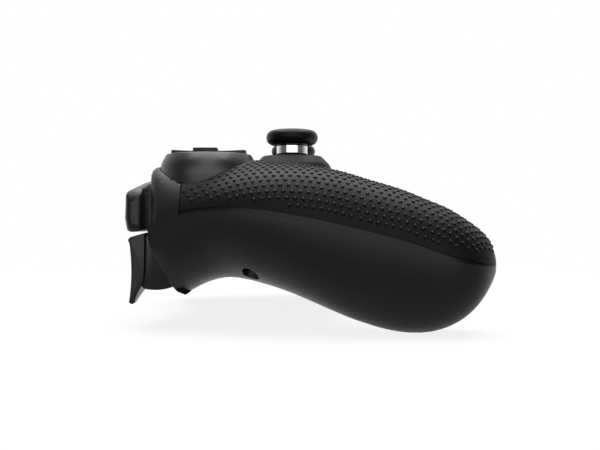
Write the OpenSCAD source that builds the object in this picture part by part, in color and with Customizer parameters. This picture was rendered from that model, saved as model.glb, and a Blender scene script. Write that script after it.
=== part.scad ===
// Gamepad with two thumbsticks, a four-way pad, bumpers and triggers, as an assembly.
// Millimetres. +Z is up, +X is the player's right and +Y points away from the player.
// The origin lies under the middle of the pad, level with the lowest point of the grips.

/* [Housing] */
// Overall width across the grips
body_w = 158; // [150:1:166]
// From the middle of the pad forward to the front wall
front_y = 48.5; // [47:0.5:49.5]
// From the middle of the pad back to the ends of the grips
grip_reach = 54.7; // [52:0.1:58]
// From the middle of the pad back to the edge between the grips
rear_y = 18; // [17:0.5:19.5]
// Height of the face plate at its crest
crest_z = 51.2; // [50.6:0.1:52]
// Height of the parting line at its highest point
seam_z = 35.3; // [35:0.1:36]
// Height of the flat underside between the grips
belly_z = 17.5; // [15:0.5:18]
// Wall of the two moulded shells
wall = 2.6; // [2.2:0.1:3]
// Thickness of the rubber grip panels
grip_t = 1.2; // [0.8:0.1:1.4]
// Width of the groove between a grip panel and the lower shell
groove_w = 1.2; // [0.6:0.1:2]
// Gap between a moving piece and what it moves in
gap = 0.3; // [0.25:0.05:0.4]

/* [Sticks] */
// From the pad's side in to each stick
stick_in = 53; // [51.5:0.5:54]
// Forward place of each stick
stick_y = 4.7; // [3:0.1:6]
// Diameter of the thumb cap
cap_d = 17.25; // [15:0.25:18]
// Height of the thumb cap
cap_h = 5.7; // [5:0.1:6.5]
// Diameter of the bright collar under the cap
collar_d = 10.25; // [9:0.25:10.5]
// Height of the bright collar
collar_h = 3.1; // [2.8:0.1:3.6]
// Diameter across the top of the ring round each stick
ring_d = 19.6; // [19.2:0.1:21]
// How far the ring stands above the crest of the face
ring_rise = 3.6; // [3.2:0.1:4]
// Height of the stick's pivot above the circuit board
pivot_h = 5.9; // [5.5:0.1:6.2]

/* [Four-way pad and face buttons] */
// From the pad's side in to each round pod
pod_in = 33; // [32:0.5:34]
// Forward place of the two round pods
pod_y = 30.3; // [29.5:0.1:30.5]
// Diameter across the rim of a pod
pod_d = 26.4; // [26:0.1:26.8]
// How far a pod's rim stands above the crest of the face
pod_rise = 1.8; // [1.4:0.1:2.4]
// Length of the cross from end to end
cross_l = 23.3; // [21:0.1:23.4]
// Width of an arm of the cross
arm_w = 7.3; // [6.5:0.1:8]
// Diameter of a face button
button_d = 7.6; // [6.8:0.1:7.8]
// Radius of the circle on which the face buttons sit
button_ring = 8; // [7.6:0.1:8.1]
// How far a face button is pressed
button_travel = 1.4; // [1:0.1:1.6]

/* [Centre buttons] */
// Sideways place of the two menu buttons
menu_x = 13.5; // [12:0.5:15]
// Forward place of the two menu buttons
menu_y = 27; // [25:0.5:29]
// Length of a menu button
menu_l = 8; // [7:0.5:9]
// Width of a menu button
menu_w = 3.6; // [3:0.1:4]
// Diameter of the home button
home_d = 9; // [8:0.5:10]
// Forward place of the home button
home_y = 12; // [10:0.5:14]

/* [Bumpers and triggers] */
// From the pad's side in to the inner end of a bumper and its trigger
shoulder_deep = 53; // [52:0.5:54]
// From the pad's side in to the outer end of a trigger
shoulder_edge = 23; // [22.5:0.5:24]
// How far a bumper is pressed
bumper_travel = 1.3; // [1:0.1:1.5]
// Forward place of the trigger's pin
trigger_y = 45.6; // [45:0.1:46]
// Height of the trigger's pin
trigger_z = 27; // [26.5:0.1:27.4]
// Radius of the trigger's lower edge about its pin
trigger_r = 15.3; // [14.8:0.1:15.6]
// Diameter of the trigger's pin
trigger_pin_d = 2.4; // [2:0.1:2.6]

/* [Inside] */
// Depth of the circuit board's top below the crest of the face
board_drop = 10.6; // [10.4:0.1:11]
// Thickness of the circuit board
board_t = 1.6; // [1.2:0.2:2]
// Width of the battery
battery_w = 42; // [34:1:46]
// Length of the battery, front to back
battery_l = 30; // [24:1:32]
// Thickness of the battery
battery_t = 9; // [7:0.5:10]
// Diameter of a rumble motor
motor_d = 18; // [15:0.5:18.5]
// Length of a rumble motor
motor_l = 11; // [9:0.5:11.5]
// Diameter of a housing screw's shank
screw_d = 2.2; // [2:0.1:2.6]
// Diameter of a housing screw's head
screw_head_d = 4.2; // [3.8:0.1:4.4]
// Bore of the headset socket
jack_d = 3.7; // [3.6:0.1:3.8]

/* [Hidden] */
$fn = 48;

// Clearance between pieces that are fixed to each other
fit = 0.1;
// Running clearance of a pin in its bore
run_fit = 0.05;
// Open line between the two shells
seam = 0.2;
// Anything larger than the pad, for cuts that run right through
far = 100;

// Heights that follow the crest of the face
board_z = crest_z - board_drop;
ring_top = crest_z + ring_rise;
pod_top = crest_z + pod_rise;
pivot_z = board_z + pivot_h;

// Plan of the housing: the middle has straight sections, the corners fan out about a
// turning point inside the gap between the grips, and the grips have straight sections.
half_w = body_w / 2;
side_r = 45;
turn_x = half_w - side_r;
turn_r = 12;
turn_y = -rear_y - turn_r;
tip_y = -grip_reach;
grip_half = (side_r - turn_r) / 2;
grip_x = half_w - grip_half;
stick_x = half_w - stick_in;
pod_x = half_w - pod_in;
shoulder_in = half_w - shoulder_deep;
shoulder_out = half_w - shoulder_edge;
// Reach of the outline from the turning point, by the angle from straight ahead
outline = [
    [0, front_y - turn_y + 20], [8, front_y - turn_y + 17], [14, front_y - turn_y + 10],
    [18, front_y - turn_y + 4.5], [22, side_r + 32.6], [27, side_r + 26.5], [35, side_r + 19.5],
    [45, side_r + 12.6], [57, side_r + 6.5], [70, side_r + 2], [80, side_r + 0.3],
    [90, side_r]
];
// Side view of the pad as [y, height] points: crest, parting line and underside
crest_line = [
    [tip_y, crest_z - 16], [0.87 * tip_y, crest_z - 16.5], [0.71 * tip_y, crest_z - 14],
    [0.5 * tip_y, crest_z - 9.3], [-rear_y, crest_z - 6.4], [-0.5 * rear_y, crest_z - 3.7],
    [2, crest_z - 1.8], [17, crest_z], [32, crest_z - 0.3], [front_y, crest_z - 1.4], [far, crest_z - 6]
];
seam_line = [
    [tip_y, seam_z - 15.9], [0.77 * tip_y, seam_z - 14.3], [0.46 * tip_y, seam_z - 8.9],
    [2, seam_z - 2.6], [22, seam_z], [36.8, seam_z - 1.2], [front_y - 2, seam_z - 4.3], [far, seam_z - 26]
];
keel_line = [
    [tip_y, 5.5], [0.89 * tip_y, 1.5], [0.75 * tip_y, 0.15], [0.57 * tip_y, 0.05], [0.5 * tip_y, 0.05],
    [-12.7, 3.9], [2, 10], [16.8, 15.2], [24.1, 18], [31.5, 15.6], [37.3, 9.7], [far, -24]
];
// Fullness of the sections: boxy in the middle, round on the grips
fullness = [[-far, 4.5], [0, 4.5], [12, 3.6], [20, 2.7], [30, 2.2], [90, 2.15], [2 * far, 2.1]];
// Above the parting line the shoulders fall away beside the round pods
fullness_top = [
    [-far, 4.5], [0, 4.5], [8, 3.6], [14, 2.75], [17, 2.35], [20, 1.95], [25, 1.7], [35, 1.8],
    [50, 2.05], [90, 2.15], [2 * far, 2.1]
];
// The flat underside of the middle gives way to the grips over this much of the fan
share_front = 28;
share_rear = 62;
share_lead = 14;
// The ends of the grips close in an arc that starts here
top_end = 0.685 * tip_y;
side_end = 0.65 * tip_y;
under_end = 0.575 * tip_y;
fan = [0, 7, 12, 16, 19, 22.5, 27, 33, 40, 49, 59, 70, 80, 90];
closing = [0, 18, 35, 51, 65, 77, 84.5];
section_steps = 13;
// Hidden faces are cut coarser than the outside
inner_steps = 7;
panel_steps = 9;
// The underside dips and rises, so it takes more
under_steps = 18;

// Front wall, bowed a little in plan
front_bow = 1.6;
function front_at(x) = front_y - front_bow * pow(x / 60, 2);

// Trigger and bumper
trigger_pull_gap = 0.5;
hub_r = 2.6;
lip_line = [[38.4, 0], [38.8, 11.4], [39.7, 12.7], [47.5, 27.7], [48.2, 30]];
ear_t = 1.5;
bracket_top = trigger_z + 6.3;
bracket_rear = trigger_y - 8.6;
bracket_front = trigger_y - 2.6;
plate_t = 1.5;
bumper_out = shoulder_out + 2.4;
function bumper_rear(x) = front_at(x) + bumper_travel + gap + 0.2;
bumper_low = seam_z - 6.1;
bumper_deep = 5.4;
neck_out = shoulder_out - 1.8;

// Fasteners: [x, y, height of the head's seat, height of the shank's end]
screw_seats = [[pod_x + 15, 16.5, 22.5, 39], [grip_x, -43, 9, 27]];
boss_r = screw_d / 2 + 1.5;

// Rumble motors lie across the grips
motor_y = 0.49 * tip_y;
motor_z = 20;
motor_in = grip_x - 2;
weight_l = 7;
weight_r = 7.5;

// Points of an arc about a centre
function arc(c, r, a0, a1, n) =
    [for (i = [0:n]) let (a = a0 + (a1 - a0) * i / n) [c[0] + r * cos(a), c[1] + r * sin(a)]];

// Smooth curve through points that climb in their first number
function span(pts, v, i = 0) = i >= len(pts) - 2 || v <= pts[i + 1][0] ? i : span(pts, v, i + 1);
function lean(pts, i) =
    let (a = max(i - 1, 0), b = min(i + 1, len(pts) - 1))
    (pts[b][1] - pts[a][1]) / (pts[b][0] - pts[a][0]);
function curve(pts, v) =
    let (
        i = span(pts, v),
        h = pts[i + 1][0] - pts[i][0],
        t = (v - pts[i][0]) / h,
        s = t * t * (3 - 2 * t)
    )
    pts[i][1] * (1 - s) + pts[i + 1][1] * s
    + h * t * (1 - t) * (lean(pts, i) * (1 - t) - lean(pts, i + 1) * t);

// One station of the housing: [centre x, centre y, direction x, y, inner reach, outer reach, key]
function stations(inset) = concat(
    [for (i = [0:3]) let (x = turn_x * i / 4)
        [x, turn_y, 0, 1, turn_r + inset, outline[0][1] - inset, x - turn_x]],
    [for (a = fan)
        [turn_x, turn_y, sin(a), cos(a), turn_r + inset, curve(outline, a) - inset, a]],
    [for (y = concat([turn_y - 3], [for (c = closing) side_end + (tip_y + inset - side_end) * sin(c)]))
        let (half = (grip_half - inset) * end_arc(y, side_end, inset))
        [grip_x, y, 1, 0, -half, half, far]]
);
function end_arc(y, start, inset) =
    y >= start ? 1 : sqrt(max(0, 1 - pow((start - y) / (start - tip_y - inset), 2)));

// Share of the grips' underside in a section, against the flat underside of the middle
function keel_share(key, y) =
    let (
        back = min(1, max(0, (rear_y - y) / (2 * rear_y))),
        width = share_front + (share_rear - share_front) * back,
        w = min(1, max(0, (key + share_lead * (1 - back)) / width))
    )
    w * w * (3 - 2 * w);

// Height of the housing's skin at one point of a section; side is 1 above and -1 below
function skin_z(y, full, share, side, inset) =
    let (
        base = curve(seam_line, y),
        under = curve(keel_line, y) * share + belly_z * (1 - share),
        rise = (curve(crest_line, y) - inset - base) * end_arc(y, top_end, inset),
        fall = (base - under - inset) * end_arc(y, under_end, inset)
    )
    base + full * (side > 0 ? rise : -fall);

// A section runs over the skin from its inner to its outer edge, then back along the parting line
function section(st, side, inset, base_shift, steps) =
    let (
        n = curve(side > 0 ? fullness_top : fullness, st[6]),
        mid = (st[4] + st[5]) / 2,
        half = (st[5] - st[4]) / 2,
        turn = [for (i = [0:steps]) 180 * i / steps],
        over = [for (a = turn) let (
                c = cos(a),
                r = mid - half * sign(c) * pow(abs(c), 2 / n),
                x = st[0] + st[2] * r,
                y = st[1] + st[3] * r)
            [x, y, skin_z(y, pow(sin(a), 2 / n), keel_share(st[6], y), side, inset)]],
        back = [for (i = [steps:-1:0]) let (p = over[i])
            [p[0], p[1], curve(seam_line, p[1]) - side * base_shift]]
    )
    base_shift > 0 ? concat(over, back) : concat(over, [for (i = [1:steps - 1]) back[i]]);

// Half of the housing as one closed solid, above or below the parting line
module half_body(side, inset = 0, base_shift = 0, steps = section_steps) {
    fine = stations(inset);
    skip = steps == inner_steps ? 2 : 1;
    right = [for (i = [0:len(fine) - 1]) if (i % skip == 0 || i == len(fine) - 1) fine[i]];
    last = len(right) - 1;
    rings = [for (i = [-last:last])
        [for (p = section(right[abs(i)], side, inset, base_shift, steps)) i < 0 ? [-p[0], p[1], p[2]] : p]];
    m = len(rings[0]);
    skin = [for (i = [0:len(rings) - 2], j = [0:m - 1])
        let (a = i * m + j, b = i * m + (j + 1) % m)
        each side > 0 ? [[a, b, b + m], [a, b + m, a + m]] : [[a, b + m, b], [a, a + m, b + m]]];
    first_cap = [for (j = [0:m - 1]) j];
    last_cap = [for (j = [m - 1:-1:0]) (len(rings) - 1) * m + j];
    turned = [for (cap = [first_cap, last_cap]) [for (j = [m - 1:-1:0]) cap[j]]];
    polyhedron(
        [for (ring = rings) each ring],
        concat(skin, side > 0 ? turned : [first_cap, last_cap]),
        convexity = 8
    );
}

// Everything behind the front wall, moved back by an inset
module behind_front(inset = 0) {
    steps = [for (i = [-8:8]) far * i / 8];
    translate([0, 0, -far])
        linear_extrude(2 * far)
            polygon(concat([for (x = steps) [x, front_at(x) - inset]], [[far, -far], [-far, -far]]));
}

// Everything above the parting line, raised by a given amount
module above_seam(raise) {
    steps = [for (i = [-14:14]) 4.2 * i];
    translate([-far, 0, 0])
        rotate([90, 0, 90])
            linear_extrude(2 * far)
                polygon(concat([for (y = steps) [y, curve(seam_line, y) + raise]], [[60, far], [-60, far]]));
}

// Left pieces are the right ones mirrored
module on_side(side) {
    mirror([side < 0 ? 1 : 0, 0, 0])
        children();
}

// A bar along X with its middle at a place in side view
module cross_rod(x0, x1, y, z, d) {
    translate([x0, y, z])
        rotate([0, 90, 0])
            cylinder(d = d, h = x1 - x0);
}

// A solid of a side-view outline between two places along X
module side_plate(x0, x1) {
    translate([x0, 0, 0])
        rotate([90, 0, 90])
            linear_extrude(x1 - x0)
                children();
}

// A vertical bar with round ends
module slot_bar(length, width, height) {
    linear_extrude(height) {
        square([length - width, width], center = true);
        for (s = [-1, 1])
            translate([s * (length - width) / 2, 0])
                circle(d = width, $fn = 24);
    }
}

// The zone of a grip panel in plan, right side: strips from its inner edge outwards
grip_edge = [
    [pod_x + 14, 37], [pod_x, pod_y], [pod_x - 5, 16], [stick_x + 10, stick_y], [turn_x - 1, -6],
    [turn_x - 4, -14], [turn_x - 6, -rear_y - 4], [turn_x - 6, -34], [turn_x - 6, -48],
    [turn_x - 6, -grip_reach - 4]
];
module grip_zone(grow) {
    shift = [-grow, 0];
    lead = [for (i = [0:len(grip_edge) - 1]) grip_edge[i] + shift + (i == 0 ? [0, grow] : [0, 0])];
    for (i = [0:len(lead) - 2])
        hull()
            linear_extrude(far)
                polygon([lead[i], lead[i + 1], [far, lead[i + 1][1]], [far, lead[i][1]]]);
}

// Openings in the face for the round pods and the stick rings
pod_base_r = pod_d / 2 + 1.9;
pod_base_z = pod_top - 10.8;
ring_base_r = ring_d / 2 + 3.6;
ring_base_z = ring_top - 5.1;
module face_openings(grow) {
    for (s = [-1, 1]) {
        translate([s * pod_x, pod_y, board_z])
            cylinder(r = pod_base_r + grow, h = far);
        translate([s * stick_x, stick_y, board_z])
            cylinder(r = ring_base_r + grow, h = far);
    }
}

// Screw bosses of the upper shell reach down to the parting line
module upper_bosses() {
    for (s = [-1, 1], p = screw_seats)
        translate([s * p[0], p[1], curve(seam_line, p[1])])
            hull() {
                cylinder(r = boss_r, h = 1, $fn = 20);
                translate([0, 0, 20])
                    cylinder(r = boss_r + 0.6, h = 1, $fn = 20);
            }
}

module upper_shell() {
    color([0.13, 0.13, 0.14])
        difference() {
            intersection() {
                half_body(1);
                behind_front();
                above_seam(seam);
                union() {
                    difference() {
                        translate([-far, -far, 0])
                            cube([2 * far, 2 * far, far]);
                        intersection() {
                            half_body(1, wall, 6, inner_steps);
                            behind_front(wall);
                        }
                    }
                    upper_bosses();
                }
            }
            // recesses for the grip panels
            for (s = [-1, 1])
                on_side(s)
                    difference() {
                        grip_zone(fit);
                        half_body(1, grip_t + fit, 6, panel_steps);
                    }
            face_openings(fit);
            // openings for the bumpers
            for (s = [-1, 1])
                on_side(s)
                    translate([shoulder_in, front_y - 8, 0])
                        cube([neck_out + gap - shoulder_in, 20, seam_z + 7.9]);
            // pilot holes for the housing screws
            for (s = [-1, 1], p = screw_seats)
                translate([s * p[0], p[1], 0])
                    cylinder(r = screw_d / 2 + fit, h = p[3] + 1, $fn = 24);
            menu_places()
                slot_bar(menu_l + 2 * gap, menu_w + 2 * gap, far);
            translate([0, home_y, board_z])
                cylinder(d = home_d + 2 * gap, h = far);
            light_place()
                slot_bar(light_l + 2 * fit, light_w + 2 * fit, far);
            usb_place(fit);
        }
}

// The lower shell carries screw bosses, battery ribs, motor cradles and trigger cheeks
cheek_x = shoulder_in - ear_t - 2 * fit - 2;
battery_y = 17;
battery_z = belly_z + wall + 1.2;
module lower_ribs() {
    for (s = [-1, 1])
        on_side(s) {
            for (p = screw_seats)
                translate([p[0], p[1], -1])
                    hull() {
                        cylinder(r = screw_head_d / 2 + 2, h = 1, $fn = 20);
                        translate([0, 0, curve(seam_line, p[1]) - seam])
                            cylinder(r = boss_r + 0.3, h = 1, $fn = 20);
                    }
            for (x = [motor_in + 1.5, motor_in + motor_l - 3])
                translate([x, motor_y - motor_d / 2, 0])
                    cube([1.5, motor_d, motor_z]);
            translate([cheek_x, front_y - 14, 0])
                cube([2, 14, seam_z]);
            translate([battery_w / 2 - 4, battery_y - battery_l / 2 + 4, 0])
                cube([1.6, battery_l - 8, battery_z - fit]);
        }
}

// Posts under the circuit board
post_places = [[stick_x + 4, -3], [shoulder_in + 5, 29]];
module board_posts(z0) {
    for (s = [-1, 1], p = post_places)
        translate([s * p[0], p[1], z0])
            cylinder(r = 2, h = board_z - board_t - fit - z0, $fn = 16);
}

module lower_shell() {
    color([0.15, 0.15, 0.16])
        difference() {
            union() {
                intersection() {
                    half_body(-1, steps = under_steps);
                    behind_front();
                    union() {
                        difference() {
                            translate([-far, -far, -1])
                                cube([2 * far, 2 * far, far]);
                            intersection() {
                                half_body(-1, wall, 6, inner_steps);
                                behind_front(wall);
                            }
                        }
                        lower_ribs();
                        board_posts(0);
                    }
                }
                board_posts(belly_z + 5);
            }
            for (s = [-1, 1])
                on_side(s) {
                    // slanted front edge beside the trigger, and the trigger's own window
                    side_plate(shoulder_in - ear_t - fit, far)
                        polygon(concat(lip_line, [[far, 30], [far, 0]]));
                    translate([shoulder_in - ear_t - fit, trigger_y - 5, trigger_z - 5])
                        cube([shoulder_out + 0.6 - shoulder_in + ear_t + fit, 30, 20]);
                    cross_rod(shoulder_in - ear_t - fit, shoulder_out + 0.6, trigger_y, trigger_z,
                        2 * (trigger_r + trigger_pull_gap));
                    // screw holes with a wide mouth for the driver
                    for (p = screw_seats)
                        translate([p[0], p[1], -1]) {
                            cylinder(r = screw_d / 2 + 2 * fit, h = far, $fn = 24);
                            hull() {
                                cylinder(d = screw_head_d + 0.8, h = 1, $fn = 24);
                                translate([0, 0, p[2]])
                                    cylinder(d = screw_head_d + 0.4, h = 1, $fn = 24);
                            }
                        }
                    cross_rod(motor_in - fit, motor_in + motor_l + fit, motor_y, motor_z, motor_d + 2 * fit);
                }
            jack_place(2 * fit);
        }
}

module grip_panel(side) {
    color([0.09, 0.09, 0.09])
        on_side(side)
            difference() {
                intersection() {
                    half_body(1);
                    above_seam(groove_w);
                    grip_zone(0);
                }
                half_body(1, grip_t, 6, panel_steps);
                face_openings(fit);
            }
}

// Round pod: a sloping ring with a floor, standing on the board by its skirt
floor_t = 1.2;
pod_floor = pod_top - 2.8;
pod_rim = 0.6;
skirt_r = pod_base_r - 1.1;
module pod() {
    rim_r = pod_d / 2;
    translate([0, pod_y, 0])
        rotate_extrude()
            polygon(concat(
                [[0, pod_floor - floor_t], [0, pod_floor], [rim_r - pod_rim - 0.15, pod_floor]],
                [[rim_r - pod_rim, pod_top - 0.3]],
                arc([rim_r - 0.8, pod_top - 0.8], 0.8, 80, 15, 4),
                [[pod_base_r - 0.4, pod_top - 2.8]],
                [[pod_base_r, pod_top - 5.8], [pod_base_r - 0.3, pod_base_z], [skirt_r, pod_base_z - 0.6]],
                [[skirt_r, board_z + 2 * fit]],
                [[skirt_r - 1.4, board_z + 2 * fit], [skirt_r - 1.4, pod_floor - floor_t]]
            ));
}

// Plan of the cross, with its ends on a circle
module cross_plan(grow) {
    intersection() {
        circle(d = cross_l + 2 * grow);
        union() {
            square([cross_l + 4, arm_w + 2 * grow], center = true);
            square([arm_w + 2 * grow, cross_l + 4], center = true);
        }
    }
}

cross_play = 0.6;
module dpad_bezel() {
    color([0.16, 0.16, 0.17])
        translate([-pod_x, 0, 0])
            difference() {
                pod();
                translate([0, pod_y, pod_floor - 3])
                    linear_extrude(6)
                        cross_plan(cross_play);
            }
}

button_angles = [90, 0, 270, 180];
module button_bezel() {
    color([0.16, 0.16, 0.17])
        translate([pod_x, 0, 0])
            difference() {
                pod();
                for (a = button_angles)
                    translate([button_ring * cos(a), pod_y + button_ring * sin(a), pod_floor - 3])
                        cylinder(d = button_d + 2 * gap, h = 6);
            }
}

// The cross rocks on a spider: it turns about X on the spider, which turns about Y on its seat
cross_top = pod_top + 1.5;
cross_flange = pod_floor - floor_t - 2.4;
cross_pivot = cross_flange - 2.2;
spider_d = 1.9;
lug_in = 2.6;
lug_out = 4;
module dpad_cross() {
    color([0.07, 0.07, 0.07])
        translate([-pod_x, pod_y, 0])
            difference() {
                union() {
                    translate([0, 0, cross_flange])
                        linear_extrude(cross_top - cross_flange)
                            cross_plan(0);
                    translate([0, 0, cross_flange])
                        cylinder(r = cross_l / 2 - 0.9, h = 1);
                    for (s = [-1, 1])
                        translate([s * (lug_in + lug_out) / 2, 0, (cross_flange + cross_pivot - 1.5) / 2])
                            cube([lug_out - lug_in, 3.6, cross_flange - cross_pivot + 1.6], center = true);
                }
                // shallow dish over the top
                translate([0, 0, cross_top + 179.5])
                    sphere(r = 180, $fn = 96);
                cross_rod(-cross_l, cross_l, 0, cross_pivot, spider_d + 2 * run_fit);
            }
}

module dpad_pivot() {
    color([0.65, 0.66, 0.68])
        translate([-pod_x, pod_y, cross_pivot])
            union() {
                cross_rod(-lug_out - 0.2, lug_out + 0.2, 0, 0, spider_d);
                translate([0, lug_out + 0.2, 0])
                    rotate([90, 0, 0])
                        cylinder(d = spider_d, h = 2 * lug_out + 0.4);
            }
}

module dpad_seat() {
    color([0.2, 0.2, 0.21])
        translate([-pod_x, pod_y, board_z])
            difference() {
                union() {
                    translate([-3.2, -4.4, 0])
                        cube([6.4, 8.8, 1]);
                    for (s = [-1, 1])
                        translate([-1.6, s * (lug_in + lug_out) / 2 - (lug_out - lug_in) / 2, 0])
                            cube([3.2, lug_out - lug_in, cross_pivot - board_z + 1.4]);
                }
                translate([0, 10, cross_pivot - board_z])
                    rotate([90, 0, 0])
                        cylinder(d = spider_d + 2 * run_fit, h = 20);
            }
}

// Rubber contact mat: a sheet on the board with a dome under each contact
module membrane(ring, dome_d, dome_h, hole_d) {
    difference() {
        union() {
            cylinder(r = skirt_r - 1.9, h = 0.8);
            for (a = button_angles)
                translate([ring * cos(a), ring * sin(a), 0])
                    cylinder(d1 = dome_d, d2 = dome_d - 1.4, h = dome_h);
        }
        translate([0, 0, -1])
            cylinder(d = hole_d, h = 4);
    }
}

module dpad_membrane() {
    color([0.55, 0.57, 0.58])
        translate([-pod_x, pod_y, board_z + fit])
            membrane(8.2, 5, cross_flange - board_z - 1.4, 11.4);
}

module button_membrane() {
    color([0.55, 0.57, 0.58])
        translate([pod_x, pod_y, board_z + fit])
            membrane(button_ring, button_d - 1.2, button_low - board_z - button_travel - 0.4, 5);
}

// Face button: a domed cap on a stem, with a flange that stops under the pod's floor
button_top = pod_top + 2;
button_low = board_z + 4.4;
module face_button(a) {
    color([0.08, 0.08, 0.08])
        translate([pod_x + button_ring * cos(a), pod_y + button_ring * sin(a), 0])
            rotate_extrude()
                polygon(concat(
                    [[0, button_low], [button_d / 2, button_low]],
                    [[button_d / 2, pod_floor - floor_t - gap - 1.2]],
                    [[button_d / 2 + 0.5, pod_floor - floor_t - gap - 1.2]],
                    [[button_d / 2 + 0.5, pod_floor - floor_t - gap]],
                    [[button_d / 2, pod_floor - floor_t - gap]],
                    arc([button_d / 2 - 0.9, button_top - 1.3], 0.9, 0, 78, 5),
                    [[0, button_top]]
                ));
}

// Stick ring: a cone with a dished top, open over the stick's dome, on a skirt round the module
dome_r = 6.9;
dish_z = ring_top - 2.6;
dish_hole = 5.3;
module stick_ring(side) {
    color([0.16, 0.16, 0.17])
        translate([side * stick_x, stick_y, 0])
            rotate_extrude()
                polygon(concat(
                    arc([ring_d / 2 - 0.5, ring_top - 0.5], 0.5, 130, 20, 5),
                    [[ring_base_r - 0.8, ring_top - 3]],
                    [[ring_base_r, ring_base_z], [ring_base_r, board_z + 2 * fit]],
                    [[ring_base_r - 1.4, board_z + 2 * fit], [ring_base_r - 1.4, pivot_z + 1.6]],
                    arc([0, pivot_z], dome_r + gap + 0.1, 22, 43, 6),
                    [[dish_hole, dish_z], [ring_d / 2 - 1.3, dish_z]]
                ));
}

// Stick module: a square housing on the board with two bearing ears and two sensors
module_w = 15.2;
ear_h = 1.1;
trunnion_d = 1.6;
module stick_module(side) {
    color([0.3, 0.31, 0.32])
        translate([side * stick_x, stick_y, board_z])
            difference() {
                union() {
                    difference() {
                        translate([-module_w / 2, -module_w / 2, 0])
                            cube([module_w, module_w, pivot_h - 2]);
                        translate([-module_w / 2 + 1.4, -module_w / 2 + 1.4, 0.8])
                            cube([module_w - 2.8, module_w - 2.8, pivot_h]);
                    }
                    cylinder(d = 3.2, h = 2.2);
                    for (s = [-1, 1])
                        translate([s * (module_w / 2 - 0.7) - 0.7, -2, 0])
                            cube([1.4, 4, pivot_h + ear_h]);
                    translate([module_w / 2, -3.8, 0])
                        cube([2.2, 7.6, pivot_h - 1.6]);
                    translate([-3.8, module_w / 2, 0])
                        cube([7.6, 2.2, pivot_h - 1.6]);
                }
                cross_rod(-module_w, module_w, 0, pivot_h, trunnion_d + 2 * run_fit);
            }
}

// The rocker turns about X in the module's ears
module stick_rocker(side) {
    color([0.75, 0.75, 0.74])
        translate([side * stick_x, stick_y, pivot_z])
            difference() {
                union() {
                    difference() {
                        cube([11.2, 10.4, 2], center = true);
                        cube([8.6, 7.8, 4], center = true);
                    }
                    for (s = [-1, 1])
                        cross_rod(s > 0 ? 5 : -module_w / 2 + 0.3, s > 0 ? module_w / 2 - 0.3 : -5, 0, 0,
                            trunnion_d);
                }
                translate([0, 10, 0])
                    rotate([90, 0, 0])
                        cylinder(d = gimbal_pin_d + 2 * run_fit, h = 20);
            }
}

// The gimbal turns about Y in the rocker and guides the shaft
gimbal_pin_d = 1.3;
shaft_d = 3;
module stick_gimbal(side) {
    color([0.25, 0.25, 0.26])
        translate([side * stick_x, stick_y, pivot_z])
            difference() {
                union() {
                    cube([6.4, 6.4, 3], center = true);
                    for (s = [-1, 1])
                        translate([0, s > 0 ? 5 : -3, 0])
                            rotate([90, 0, 0])
                                cylinder(d = gimbal_pin_d, h = 2);
                }
                translate([0, 0, -5])
                    cylinder(d = shaft_d + 2 * run_fit, h = 10);
            }
}

// The shaft slides in the gimbal, closes the dish with its dome and carries collar and cap
neck_r = 2.6;
collar_z = ring_top;
cap_z = collar_z + collar_h;
dome_t = 0.8;
dome_reach = 58;
module stick_shaft(side) {
    color([0.06, 0.06, 0.06])
        translate([side * stick_x, stick_y, pivot_z])
            rotate_extrude()
                polygon(concat(
                    [[0, -2.5], [shaft_d / 2, -2.5], [shaft_d / 2, dome_r - dome_t - 0.3]],
                    arc([0, 0], dome_r - dome_t, 74, 90 - dome_reach, 7),
                    arc([0, 0], dome_r, 90 - dome_reach, 66, 6),
                    [[neck_r, dome_r], [neck_r, cap_z - pivot_z + 2.4], [0, cap_z - pivot_z + 2.4]]
                ));
}

module stick_collar(side) {
    color([0.82, 0.83, 0.85])
        translate([side * stick_x, stick_y, 0])
            rotate_extrude()
                polygon([
                    [neck_r + run_fit, collar_z], [collar_d / 2 - 0.4, collar_z],
                    [collar_d / 2, collar_z + 0.4], [collar_d / 2, cap_z - 0.3],
                    [collar_d / 2 - 0.3, cap_z], [neck_r + run_fit, cap_z]
                ]);
}

// Thumb cap with a rolled edge and a shallow dish on top
module stick_cap(side) {
    edge_r = cap_h * 0.47;
    color([0.05, 0.05, 0.05])
        translate([side * stick_x, stick_y, cap_z])
            rotate_extrude()
                polygon(concat(
                    [[neck_r + run_fit, 0]],
                    arc([cap_d / 2 - edge_r, edge_r], edge_r, -90, 90, 12),
                    [[cap_d / 2 - edge_r - 1, cap_h - 0.15], [cap_d / 4, cap_h - 0.5], [0, cap_h - 0.7]],
                    [[0, 2.4 + fit], [neck_r + run_fit, 2.4 + fit]]
                ));
}

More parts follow.
